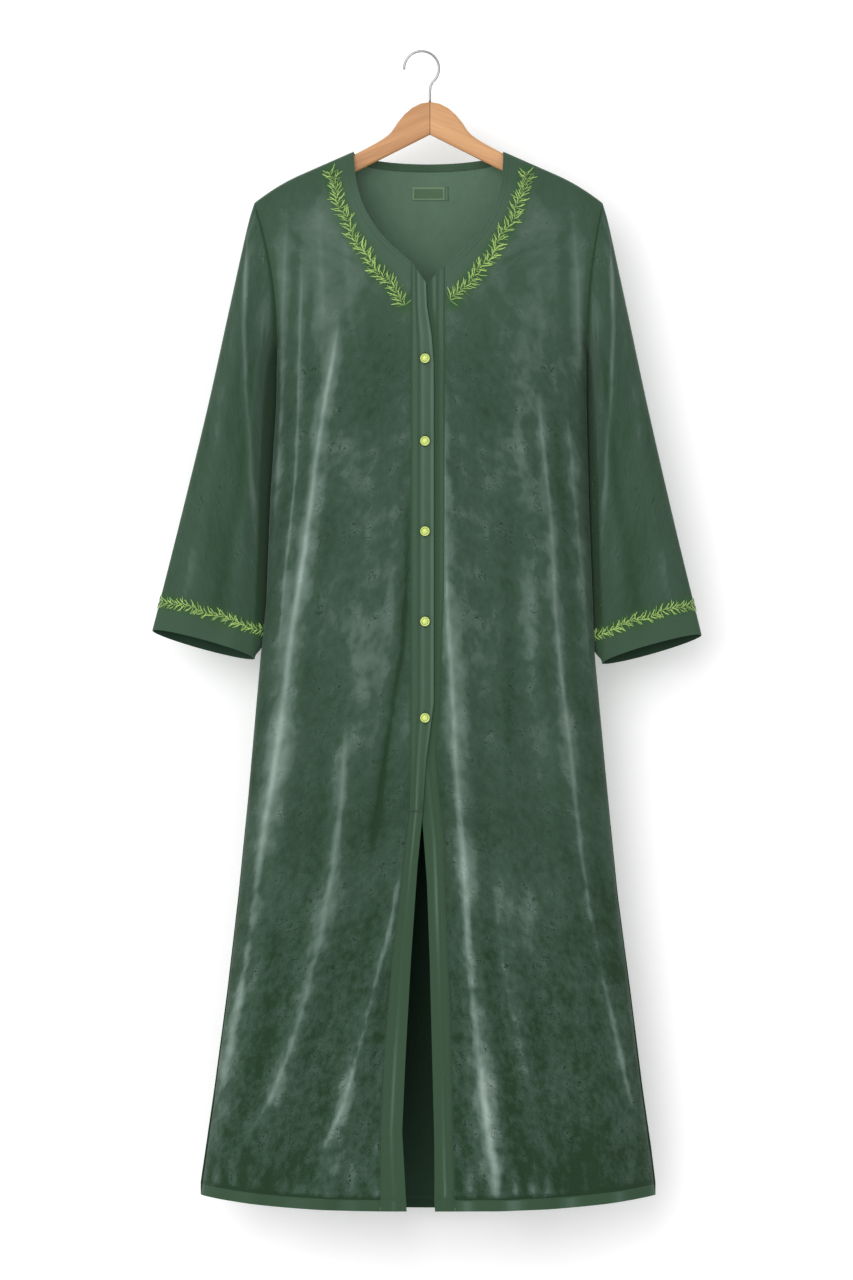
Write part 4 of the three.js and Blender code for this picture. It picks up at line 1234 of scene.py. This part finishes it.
class AbayaColours(bpy.types.PropertyGroup):
    velvet: colour_prop("Velvet", "The pile's main colour", 62, 84, 70)
    # The deep colour serves the pile's darker mottling and the painted shade in the troughs, the light
    # colour its lighter mottling and the painted highlight on the crests.
    velvet_deep_and_shade: colour_prop("Velvet, deep", "The pile in the troughs", 34, 57, 36)
    velvet_light_and_highlight: colour_prop("Velvet, light", "The pile laid over on the crests", 154, 172, 164)
    facing: colour_prop("Facing", "Bands, hem and neck facing", 64, 90, 69)
    facing_light: colour_prop("Facing, light", "The facing where it is rubbed", 108, 138, 118)
    backing: colour_prop("Backing", "The inside of the cloth", 98, 126, 105)
    # Painted shade on the inside, low down and in the sleeves.
    backing_painted_shade: colour_prop("Backing, deep", "The inside low down and in the sleeves", 40, 62, 47)
    label: colour_prop("Label", "The label's ribbon", 84, 116, 84)
    label_deep: colour_prop("Label, deep", "Between the ribbon's threads", 68, 100, 70)
    label_line: colour_prop("Label, edge", "The line woven round the label", 116, 148, 114)
    vine_tint: colour_prop("Vine ground", "The cloth under the embroidery", 50, 88, 46)
    thread_dark: colour_prop("Vine thread, dark", "Shaded embroidery thread", 62, 112, 44)
    thread_bright: colour_prop("Vine thread, bright", "Lit embroidery thread", 190, 226, 120)
    pearl: colour_prop("Pearl", "The buttons", 238, 250, 142)
    pearl_deep: colour_prop("Pearl, deep", "Veins in the buttons", 188, 216, 92)
    # Painted shade in the button's groove, its middle and under its rim.
    pearl_groove_shade: colour_prop("Pearl, groove", "The turned groove in a button", 92, 118, 36)
    wood: colour_prop("Wood", "The hanger's light grain", 216, 162, 108)
    wood_deep: colour_prop("Wood, deep", "The hanger's dark grain", 176, 120, 70)
    steel: colour_prop("Steel", "The hook", 190, 190, 192)
    steel_deep: colour_prop("Steel, deep", "The hook's dark marks", 140, 140, 142)
    backdrop: colour_prop("Backdrop", "The wall and the floor", 248, 248, 248)


# ---------- the pieces ----------


def hang_shade(x, z):
    """Painted light and shade: lighter over the chest, deeper towards the hem, at the shoulders and
    beside the sleeves, and on the hem's puckers and its stitch line.
    """
    shade = 0.14 * smooth(-z, 520, 280) - 0.48 * smooth(-z, 520, 1450)
    shade = shade - 0.3 * smooth(shoulder_z(x) - z, 75, 5)
    above = z - hem_z(x)
    drawn = bell(above, 30, 17) * smooth(above, 15, 18)
    shade = shade + (2.4 * hem_pucker(x / 2.3 + 5) - 1.5) * smooth(above, 15, 13)
    shade = shade + 1.5 * (hem_pucker(x) - 0.5) * drawn - 1.5 * bell(above, 15.8, 1.2)
    share = np.clip((z - shoulder_z(SHOULDER_X)) / (CHEST_Z - shoulder_z(SHOULDER_X)), 0, 1)
    edge = half_width(x, CHEST_Z + 0 * z)
    edge = edge + (SHOULDER_X - edge) * (1 - share) ** ARMHOLE_POWER
    edge = np.where(z < CHEST_Z, half_width(x, z), edge)
    beside = bell(edge, np.abs(x), 7) * smooth(-z, 200, 240) * smooth(-z, 860, 760)
    return shade - 0.3 * beside


def front_masks(side, neck, x, z, sizes):
    # The pile mask holds painted highlights and painted shade.
    pile = crease_marks(FRONT_CREASES, x, z)[1] + hang_shade(x, z)
    for at_x, at_z, half_x, half_z, painted_tone in FRONT_PAINTED_LIGHT:
        pile = pile + painted_tone * bell(x, at_x, half_x) * bell(z, at_z, half_z)
    # Painted highlight on the broad folds' crests and painted shade between them, below the chest.
    pile = pile + 0.02 * (fold_height(FRONT_FOLDS, x, z) - 4) * smooth(-z, 350, 500)
    facing = sizes.neck_facing / MM
    flat = smooth(neck_distance(neck, x, z), facing + 2.5, facing - 2.5)
    hem = smooth(z - hem_z(x), sizes.hem_band / MM + 0.7, sizes.hem_band / MM - 0.5)
    rumpled = 1.2 * smooth(-z, 950, 1350)
    calm = 0.45 * smooth(-z, 440, 320)
    return {"pile": pile, "smooth": np.maximum(calm, np.maximum(flat, hem)) - rumpled * (1 - hem),
            "vine": vine_tint(side, x, z)}


def make_front(side, word, neck, edges):
    sizes = bpy.context.scene.abaya_cloth
    plan = front_plan(side, neck, edges)
    x, z = plan[..., 0], plan[..., 1]
    points = front_point(x, z, -side, sizes)
    gap = sizes.seam_gap / MM
    draw_in(points, gap, last=True, rows=slice(YOKE_NECK_ROWS, None))
    draw_in(points, gap, first=True, rows=slice(0, YOKE_NECK_ROWS + YOKE_CHEST_ROWS + 1))
    masks = front_masks(side, neck, x, z, sizes)
    piece = cloth(f"front_{word}_cloth", points, masks, straight=-1)
    velvet, _, backing = cloth_materials()
    give_wall(piece, sizes.wall, velvet, backing)
    return piece


class ABAYA_OT_fronts(bpy.types.Operator):
    """Hang the two front panels with their creases"""

    bl_idname = "abaya.fronts"
    bl_label = "Front panels"

    def execute(self, context):
        right, left = [make_front(*side) for side in SIDES]
        wear(right, "velvet", "front_right")
        wear(left, "velvet", "front_left")
        return {"FINISHED"}


class ABAYA_OT_back(bpy.types.Operator):
    """Hang the back panel with its creases"""

    bl_idname = "abaya.back"
    bl_label = "Back panel"

    def execute(self, context):
        sizes = context.scene.abaya_cloth
        plan = back_plan()
        x, z = plan[..., 0], plan[..., 1]
        points = back_point(x, z, sizes)
        yoke = slice(0, YOKE_NECK_ROWS + YOKE_CHEST_ROWS + 1)
        draw_in(points, sizes.seam_gap / MM, first=True, last=True, rows=yoke)
        # The pile mask holds painted highlights and painted shade, lighter on the broad folds' crests.
        pile = crease_marks(BACK_CREASES, x, z)[1] + hang_shade(x, z)
        pile = pile + 0.02 * (fold_height(BACK_FOLDS, x, z) - 4)
        hem = smooth(z - hem_z(x), sizes.hem_band / MM + 0.7, sizes.hem_band / MM - 0.5)
        masks = {"pile": pile, "smooth": hem, "vine": np.zeros_like(x)}
        piece = cloth("back_cloth", points, masks, straight=points.shape[1] // 2)
        velvet, _, backing = cloth_materials()
        give_wall(piece, sizes.wall, velvet, backing)
        wear(piece, "velvet", "back")
        return {"FINISHED"}


class ABAYA_OT_bands(bpy.types.Operator):
    """Sew the two button bands down the centre front"""

    bl_idname = "abaya.bands"
    bl_label = "Button bands"

    def execute(self, context):
        sizes = context.scene.abaya_cloth
        velvet, _, backing = cloth_materials()
        for side, word, neck, edges in SIDES:
            plan = band_plan(side, edges, front_plan(side, neck, edges))
            x, z = plan[..., 0], plan[..., 1]
            points = front_point(x, z, -side, sizes)
            draw_in(points, sizes.seam_gap / MM, first=True)
            seam = read(edges, "seam", z)
            edge = read(edges, "edge", z)
            across = (x - seam) / (edge - seam)
            # Painted shade in the seam and along the topstitch, painted highlight beside the topstitch
            # and near the free edge, and below the slit's top the band painted darker except a painted
            # highlight down its middle.
            pile = hang_shade(x, z) - 1.6 * bell(x, seam, 1.3)
            pile = pile - 1.1 * bell(across, BAND_STITCH, 0.05)
            pile = pile + 0.4 * bell(across, BAND_STITCH + 0.14, 0.1)
            pile = pile + 0.8 * bell(across, 0.94, 0.05)
            painted_highlight = 1.9 * bell(across, 0.5 + 0.04 * np.sin(z / 70), 0.19)
            painted_highlight = painted_highlight * (0.7 + 0.3 * np.sin(z / 61 + side))
            pile = pile - (1.35 - painted_highlight) * smooth(-z, 880, 1060)
            # Painted shadow on the left band under the right band's edge.
            if side > 0:
                under = x - read(RIGHT_EDGE, "edge", z) - 2
                shade = bell(np.minimum(0, under), 0, 2) * bell(np.maximum(0, under), 0, 4.5)
                pile = pile - 2.6 * shade * smooth(-z, 960, 880)
            zero = np.zeros_like(x)
            piece = cloth(f"band_{word}_cloth", points, {"pile": pile, "smooth": zero + 1, "vine": zero})
            give_wall(piece, sizes.wall, velvet, backing)
            wear(piece, "facing", f"band_{word}")
        return {"FINISHED"}


class ABAYA_OT_sleeves(bpy.types.Operator):
    """Hang the two sleeves with their creases and gathered heads"""

    bl_idname = "abaya.sleeves"
    bl_label = "Sleeves"

    def execute(self, context):
        sizes = context.scene.abaya_cloth
        velvet, _, _ = cloth_materials()
        # Painted shade deepens the sleeves' inner side from the head down.
        backing = backing_material("Sleeve backing", SLEEVE_BACKING_SHADE_HEIGHTS)
        for side, word, *_ in SIDES:
            u = np.linspace(0, 1, SLEEVE_COLUMNS + 1)[None, :]
            along = np.linspace(0, 1, SLEEVE_RINGS + 1)[:, None]
            u, along = np.broadcast_arrays(u, along)
            points = sleeve_point(side, u, along)
            draw_in(points, sizes.seam_gap / MM, head=True)
            down = points[..., 2]
            pile = sleeve_marks(u, along)[1] + 0.6 * hang_shade(0 * down, down)
            # Painted shade in the strip of the sleeve beside the body.
            held = smooth(along, 0.02, 0.12) * smooth(along, 0.99, 0.8)
            pile = pile - 2.6 * held * smooth(u, 0.41, 0.48) * smooth(u, 0.66, 0.6)
            # Painted shade along the armhole seam, reaching further down the inner side; the whole
            # sleeve is also a little darker.
            from_seam = np.linalg.norm(points - points[:1], axis=-1)
            inward = np.where(u <= 0.5, 2 * u, 2 - 2 * u)
            reach = 3.5 + 11 * inward**2
            pile = pile - 0.2 - 1.5 * bell(from_seam, 0, reach) * smooth(inward, 0.04, 0.2)
            cuff = down - down[-1][None]
            flat = smooth(cuff, sizes.cuff_facing / MM + 3, sizes.cuff_facing / MM - 3)
            flat = np.maximum(flat, 0.3)
            middle = sleeve_point(side, u, np.full_like(along, VINE_ALONG))[..., 2]
            vine = np.exp(-((np.abs(down - middle) / 10.5) ** 4))
            piece = cloth(f"sleeve_{word}_cloth", points,
                          {"pile": pile, "smooth": flat, "vine": vine}, closed=True)
            give_wall(piece, sizes.wall, velvet, backing)
            wear(piece, "velvet", f"sleeve_{word}")
        return {"FINISHED"}


class ABAYA_OT_neck_trim(bpy.types.Operator):
    """Sew the neck binding and the bare label inside the back"""

    bl_idname = "abaya.neck_trim"
    bl_label = "Neck binding and label"

    def execute(self, context):
        sizes = context.scene.abaya_cloth
        _, facing, backing = cloth_materials()
        inner = back_surface()
        clear = -(sizes.wall + sizes.seam_gap) / MM
        turn = np.linspace(0.1 * math.pi, 0.9 * math.pi, 81)[None, :]
        drop = np.linspace(*BINDING_DROP, 8)[:, None]
        x = -NECK_HALF * np.cos(turn) + 0 * drop
        z = NECK_Z - BACK_NECK_DROP * np.sin(turn) - drop
        lift = np.full(x.shape, clear)
        lift = lift - 0.5 * smooth(drop, 9.6, 8) * smooth(drop, 0.2, 1.5)
        binding = cloth("neck_binding_cloth", lay_on(inner, x, z, 0 * x, 0 * x, lift), {})
        give_wall(binding, BINDING_WALL, backing, facing)
        label_z = np.linspace(*LABEL_Z, 29)[:, None]
        x, z = np.broadcast_arrays(np.linspace(*LABEL_X, 67)[None, :], label_z)
        from_x = np.abs(x - LABEL_MIDDLE[0])
        from_z = np.abs(z - LABEL_MIDDLE[1])
        lift = clear - 0.45 * smooth(from_x, 21.8, 19.5) * smooth(from_z, 9, 7.6)
        inset = np.minimum(LABEL_HALF[0] - from_x, LABEL_HALF[1] - from_z)
        outline = 1.3 * bell(inset, 1.6, 0.9)
        label = cloth("label_cloth", lay_on(inner, x, z, 0 * x, 0 * x, lift), {"pile": outline - 0.1})
        ribbon = label_material()
        give_wall(label, LABEL_WALL, ribbon, ribbon)
        x, z = np.broadcast_arrays(np.linspace(*FOLD_X, 6)[None, :], label_z)
        share = np.clip((x - FOLD_X[0]) / (FOLD_X[1] - FOLD_X[0]), 0, 1)
        lift = clear - FOLD_RISE * np.sin(share * math.pi)
        fold = cloth("label_fold_cloth", lay_on(inner, x, z, 0 * x, 0 * x, lift), {})
        give_wall(fold, FOLD_WALL, backing, backing)
        wear(binding, "facing", "neck_binding")
        wear(label, "label", "label")
        wear(fold, "label")
        return {"FINISHED"}


class ABAYA_OT_embroidery(bpy.types.Operator):
    """Embroider the leafy vines along the neckline and round the cuffs"""

    bl_idname = "abaya.embroidery"
    bl_label = "Embroidered vines"

    def execute(self, context):
        trim = context.scene.abaya_trim
        looks = context.scene.abaya_colours
        thread = thread_material("Vine thread", looks.thread_dark, looks.thread_bright, 0.5)
        for side, word, *_ in SIDES:
            spots, headings = polyline(VINES[side], VINE_STEP)
            marks = vine_marks(spots, headings, trim.vine_width / MM / 2, trim)
            wear(sew(f"neck_vine_{word}", front_surface(-side), marks, thread), None)
        for side, word, *_ in SIDES:
            u = np.linspace(0, 1, 400)
            ring = sleeve_point(side, u, np.full_like(u, VINE_ALONG))
            reach = np.concatenate([[0], np.cumsum(np.linalg.norm(np.diff(ring, axis=0), axis=1))])
            girth = reach[-1]
            count = int(girth / CUFF_VINE_STEP)
            places = np.interp(np.arange(count) / count * girth, reach, u)
            surface = sleeve_surface(side, girth)
            spots = [(place * girth, VINE_ALONG * SLEEVE_LENGTH) for place in places]
            marks = vine_marks(spots, [0.0] * count, trim.cuff_vine / MM / 2, trim)
            wear(sew(f"cuff_vine_{word}", surface, marks, thread), None)
        return {"FINISHED"}


class ABAYA_OT_stitching(bpy.types.Operator):
    """Stitch the hem, the bands, the neckline, the placket's end and the buttonholes"""

    bl_idname = "abaya.stitching"
    bl_label = "Topstitching"

    def execute(self, context):
        trim = context.scene.abaya_trim
        sizes = context.scene.abaya_cloth
        looks = context.scene.abaya_colours
        thread = thread_material("Sewing thread", looks.velvet_deep_and_shade, looks.facing, 0.7)
        hem = sizes.hem_band / MM
        for side, word, neck, edges in SIDES:
            centre = read(edges, "edge", HEM_Z) + side * 2
            x = np.linspace(side * SEAM_END_X, centre, 80)
            marks = stitch_marks(np.stack([x, hem_z(x) + hem - 1.2], -1), trim)
            z = np.linspace(BAND_TOP[side] + 8, HEM_Z + hem, 200)
            seam, edge = read(edges, "seam", z), read(edges, "edge", z)
            for share in (0.07, BAND_STITCH):
                marks += stitch_marks(np.stack([seam + (edge - seam) * share, z], -1), trim)
            marks += stitch_marks(np.stack([seam + side * 1.6, z], -1), trim)
            line = bezier(neck, np.linspace(0.02, 1, 80))
            run = np.gradient(line, axis=0)
            normal = np.stack([run[:, 1], -run[:, 0]], -1)
            normal = normal / np.linalg.norm(normal, axis=1, keepdims=True)
            normal = normal * np.sign(normal[20, 0]) * side
            for inset in NECK_STITCHES:
                marks += stitch_marks(line + normal * inset, trim)
            wear(sew(f"front_{word}_stitches", front_surface(-side), marks, thread, 0.05), None)
        x = np.linspace(-SEAM_END_X, SEAM_END_X, 160)
        marks = stitch_marks(np.stack([x, hem_z(x) + hem - 1.2], -1), trim)
        wear(sew("back_stitches", back_surface(), marks, thread, 0.05), None)
        marks = []
        for x in np.arange(TACK_X[0], TACK_X[1], 0.7):
            marks.append((x, TACK_Z + 0.5 * math.sin(x * 3), 1.57, 2.6, 0.7, 0.7, 0.3, 0.0))
        for z in np.arange(TACK_Z + 1.5, TACK_Z + 13, 0.8):
            marks.append((TACK_X[1] - 1.6, z, 0.0, 1.6, 0.7, 0.6, 0.15, 0.0))
        for z in BUTTON_Z:
            for step in np.arange(-8.5, 8.6, 0.75):
                for flank in (-1, 1):
                    marks.append((BUTTON_X + flank * 0.9, z + step, 0.0, 1.7, 0.6, 0.5, 0.35, 0.0))
        wear(sew("placket_stitches", front_surface(1), marks, thread, 0.05), None)
        return {"FINISHED"}


def groove_shade_mask(share):
    """Painted shade in the button's turned groove, at its middle and on its underside."""
    ring = math.exp(-(((share - 0.66) / 0.09) ** 2))
    middle = 0.25 * math.exp(-((share / 0.3) ** 2))
    return min(1, 0.85 * ring + middle + (share > 0.93))


class ABAYA_OT_buttons(bpy.types.Operator):
    """Turn the five domed pearly buttons"""

    bl_idname = "abaya.buttons"
    bl_label = "Buttons"

    def execute(self, context):
        pearl = pearl_material()
        forward = Vector((0, 0, 1)).rotation_difference(Vector((0, -1, 0))).to_matrix()
        for number in range(1, len(BUTTON_Z) + 1):
            low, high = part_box(f"button_{number}")
            radius = (high.x - low.x) / 2
            centre = Vector(((low.x + high.x) / 2, high.y, (low.z + high.z) / 2))
            bm = bmesh.new()
            verts = [bm.verts.new((share * radius, 0, rise * BUTTON_HEIGHT * MM))
                     for share, rise in BUTTON_OUTLINE]
            edges = [bm.edges.new(pair) for pair in zip(verts, verts[1:])]
            bmesh.ops.spin(bm, geom=verts + edges, cent=(0, 0, 0), axis=(0, 0, 1),
                           angle=2 * math.pi, steps=36, use_merge=True)
            bmesh.ops.remove_doubles(bm, verts=bm.verts[:], dist=1e-6)
            bmesh.ops.rotate(bm, verts=bm.verts[:], cent=(0, 0, 0), matrix=forward)
            bmesh.ops.translate(bm, verts=bm.verts[:], vec=centre)
            bmesh.ops.recalc_face_normals(bm, faces=bm.faces[:])
            piece = link_mesh(f"button_{number}_dome", bm)
            radii = [math.hypot(v.co.x - centre.x, v.co.z - centre.z) / radius
                     for v in piece.data.vertices]
            add_values(piece.data, "groove", [groove_shade_mask(share) for share in radii])
            piece.data.materials.append(pearl)
            wear(piece, "pearl", f"button_{number}")
        return {"FINISHED"}


class ABAYA_OT_hanger(bpy.types.Operator):
    """Bend the smooth hook and finish the wooden hanger"""

    bl_idname = "abaya.hanger"
    bl_label = "Hanger and hook"

    def execute(self, context):
        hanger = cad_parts["hanger"]
        hanger.data.materials.clear()
        hanger.data.materials.append(wood_material())
        spine = list(STEM)
        for turn in np.linspace(*CROWN_TURN, 40) * math.pi / 180:
            spine.append((CROWN_RADIUS * math.cos(turn) + CROWN_X,
                          CROWN_RADIUS * math.sin(turn) + CROWN_Z))
        curve = bpy.data.curves.new("hook_wire", "CURVE")
        curve.dimensions = "3D"
        curve.bevel_depth = WIRE * MM
        curve.bevel_resolution = 5
        curve.use_fill_caps = True
        line = curve.splines.new("POLY")
        tip = spine[-1]
        end = [(tip[0], tip[1] - WIRE * math.sin(a), math.cos(a)) for a in (0.4, 0.8, 1.2, 1.5)]
        line.points.add(len(spine) + len(end) - 1)
        for point, (x, z, *size) in zip(line.points, spine + end):
            point.co = ((x + HANGER_X) * MM, 0, z * MM, 1)
            point.radius = size[0] if size else 1
        rod = add_object("hook_curve", curve)
        bpy.context.view_layer.update()
        mesh = bpy.data.meshes.new_from_object(rod.evaluated_get(context.evaluated_depsgraph_get()))
        bpy.data.objects.remove(rod)
        bm = bmesh.new()
        bm.from_mesh(mesh)
        bmesh.ops.remove_doubles(bm, verts=bm.verts[:], dist=1e-6)
        bmesh.ops.recalc_face_normals(bm, faces=bm.faces[:])
        piece = link_mesh("hook_wire", bm)
        piece.data.materials.append(steel_material())
        wear(piece, "steel", "hook")
        return {"FINISHED"}


def add_lamp(light, place, heading):
    lamp = add_object(light.name, light)
    lamp.location = place
    lamp.rotation_mode = "QUATERNION"
    lamp.rotation_quaternion = Vector(heading).to_track_quat("-Z", "Y")


class ABAYA_OT_stage(bpy.types.Operator):
    """Set up the pale wall, the floor, the soft lights and the camera"""

    bl_idname = "abaya.stage"
    bl_label = "Stage"

    def execute(self, context):
        scene = context.scene
        paint = wall_material("Pale paint", scene.abaya_colours.backdrop)
        low, high = CAD_BOX
        for name, upright, place in (("wall", True, high.y + WALL_BEHIND),
                                     ("floor", False, low.z - FLOOR_BELOW)):
            bm = bmesh.new()
            bmesh.ops.create_grid(bm, x_segments=4, y_segments=4, size=8)
            piece = link_mesh(name, bm, False)
            for vertex in piece.data.vertices:
                x, y, _ = vertex.co
                vertex.co = (x, place, y) if upright else (x, y, place)
            piece.data.materials.append(paint)
        world = bpy.data.worlds.new("Studio")
        world.use_nodes = True
        feed(world.node_tree.nodes["Background"], {0: (1, 1, 1, 1), 1: WORLD_LIGHT})
        scene.world = world
        key = bpy.data.lights.new("Key light", "SUN")
        key.energy = KEY_LIGHT
        key.angle = math.radians(KEY_ANGLE)
        add_lamp(key, (0, 0, 0), KEY_HEADING)
        side = bpy.data.lights.new("Side light", "AREA")
        side.size = SIDE_SIZE
        side.energy = SIDE_LIGHT
        add_lamp(side, SIDE_PLACE, SIDE_HEADING)
        scene.view_settings.view_transform = "Standard"
        lens = bpy.data.cameras.new("Camera")
        lens.sensor_width = SENSOR
        lens.lens = SENSOR * CAMERA_AWAY / (FRAME_ROWS * ROW_HEIGHT * MM)
        camera = add_object("Camera", lens)
        camera.location = (CAMERA_X, -CAMERA_AWAY - CAMERA_SETBACK, CAMERA_Z)
        camera.rotation_euler = (math.pi / 2, 0, 0)
        scene.camera = camera
        return {"FINISHED"}


OPERATORS = (ABAYA_OT_fronts, ABAYA_OT_back, ABAYA_OT_bands, ABAYA_OT_sleeves, ABAYA_OT_neck_trim,
             ABAYA_OT_embroidery, ABAYA_OT_stitching, ABAYA_OT_buttons, ABAYA_OT_hanger,
             ABAYA_OT_stage)


class ABAYA_PT_sidebar(bpy.types.Panel):
    """The abaya's pieces, sizes and colours"""

    bl_idname = "ABAYA_PT_sidebar"
    bl_label = "Abaya"
    bl_space_type = "VIEW_3D"
    bl_region_type = "UI"
    bl_category = "Abaya"

    def draw(self, context):
        for operator in OPERATORS:
            self.layout.operator(operator.bl_idname)
        for group in (context.scene.abaya_cloth, context.scene.abaya_trim,
                      context.scene.abaya_colours):
            box = self.layout.box()
            for key in group.__annotations__:
                box.prop(group, key)


CLASSES = (AbayaCloth, AbayaTrim, AbayaColours, *OPERATORS, ABAYA_PT_sidebar)


def register():
    for item in CLASSES:
        bpy.utils.register_class(item)
    bpy.types.Scene.abaya_cloth = bpy.props.PointerProperty(type=AbayaCloth)
    bpy.types.Scene.abaya_trim = bpy.props.PointerProperty(type=AbayaTrim)
    bpy.types.Scene.abaya_colours = bpy.props.PointerProperty(type=AbayaColours)


def unregister():
    del bpy.types.Scene.abaya_cloth
    del bpy.types.Scene.abaya_trim
    del bpy.types.Scene.abaya_colours
    for item in reversed(CLASSES):
        bpy.utils.unregister_class(item)


def main():
    register()
    bpy.ops.abaya.fronts()
    bpy.ops.abaya.back()
    bpy.ops.abaya.bands()
    bpy.ops.abaya.sleeves()
    bpy.ops.abaya.neck_trim()
    bpy.ops.abaya.embroidery()
    bpy.ops.abaya.stitching()
    bpy.ops.abaya.buttons()
    bpy.ops.abaya.hanger()
    bpy.ops.abaya.stage()


if __name__ == "__main__":
    main()
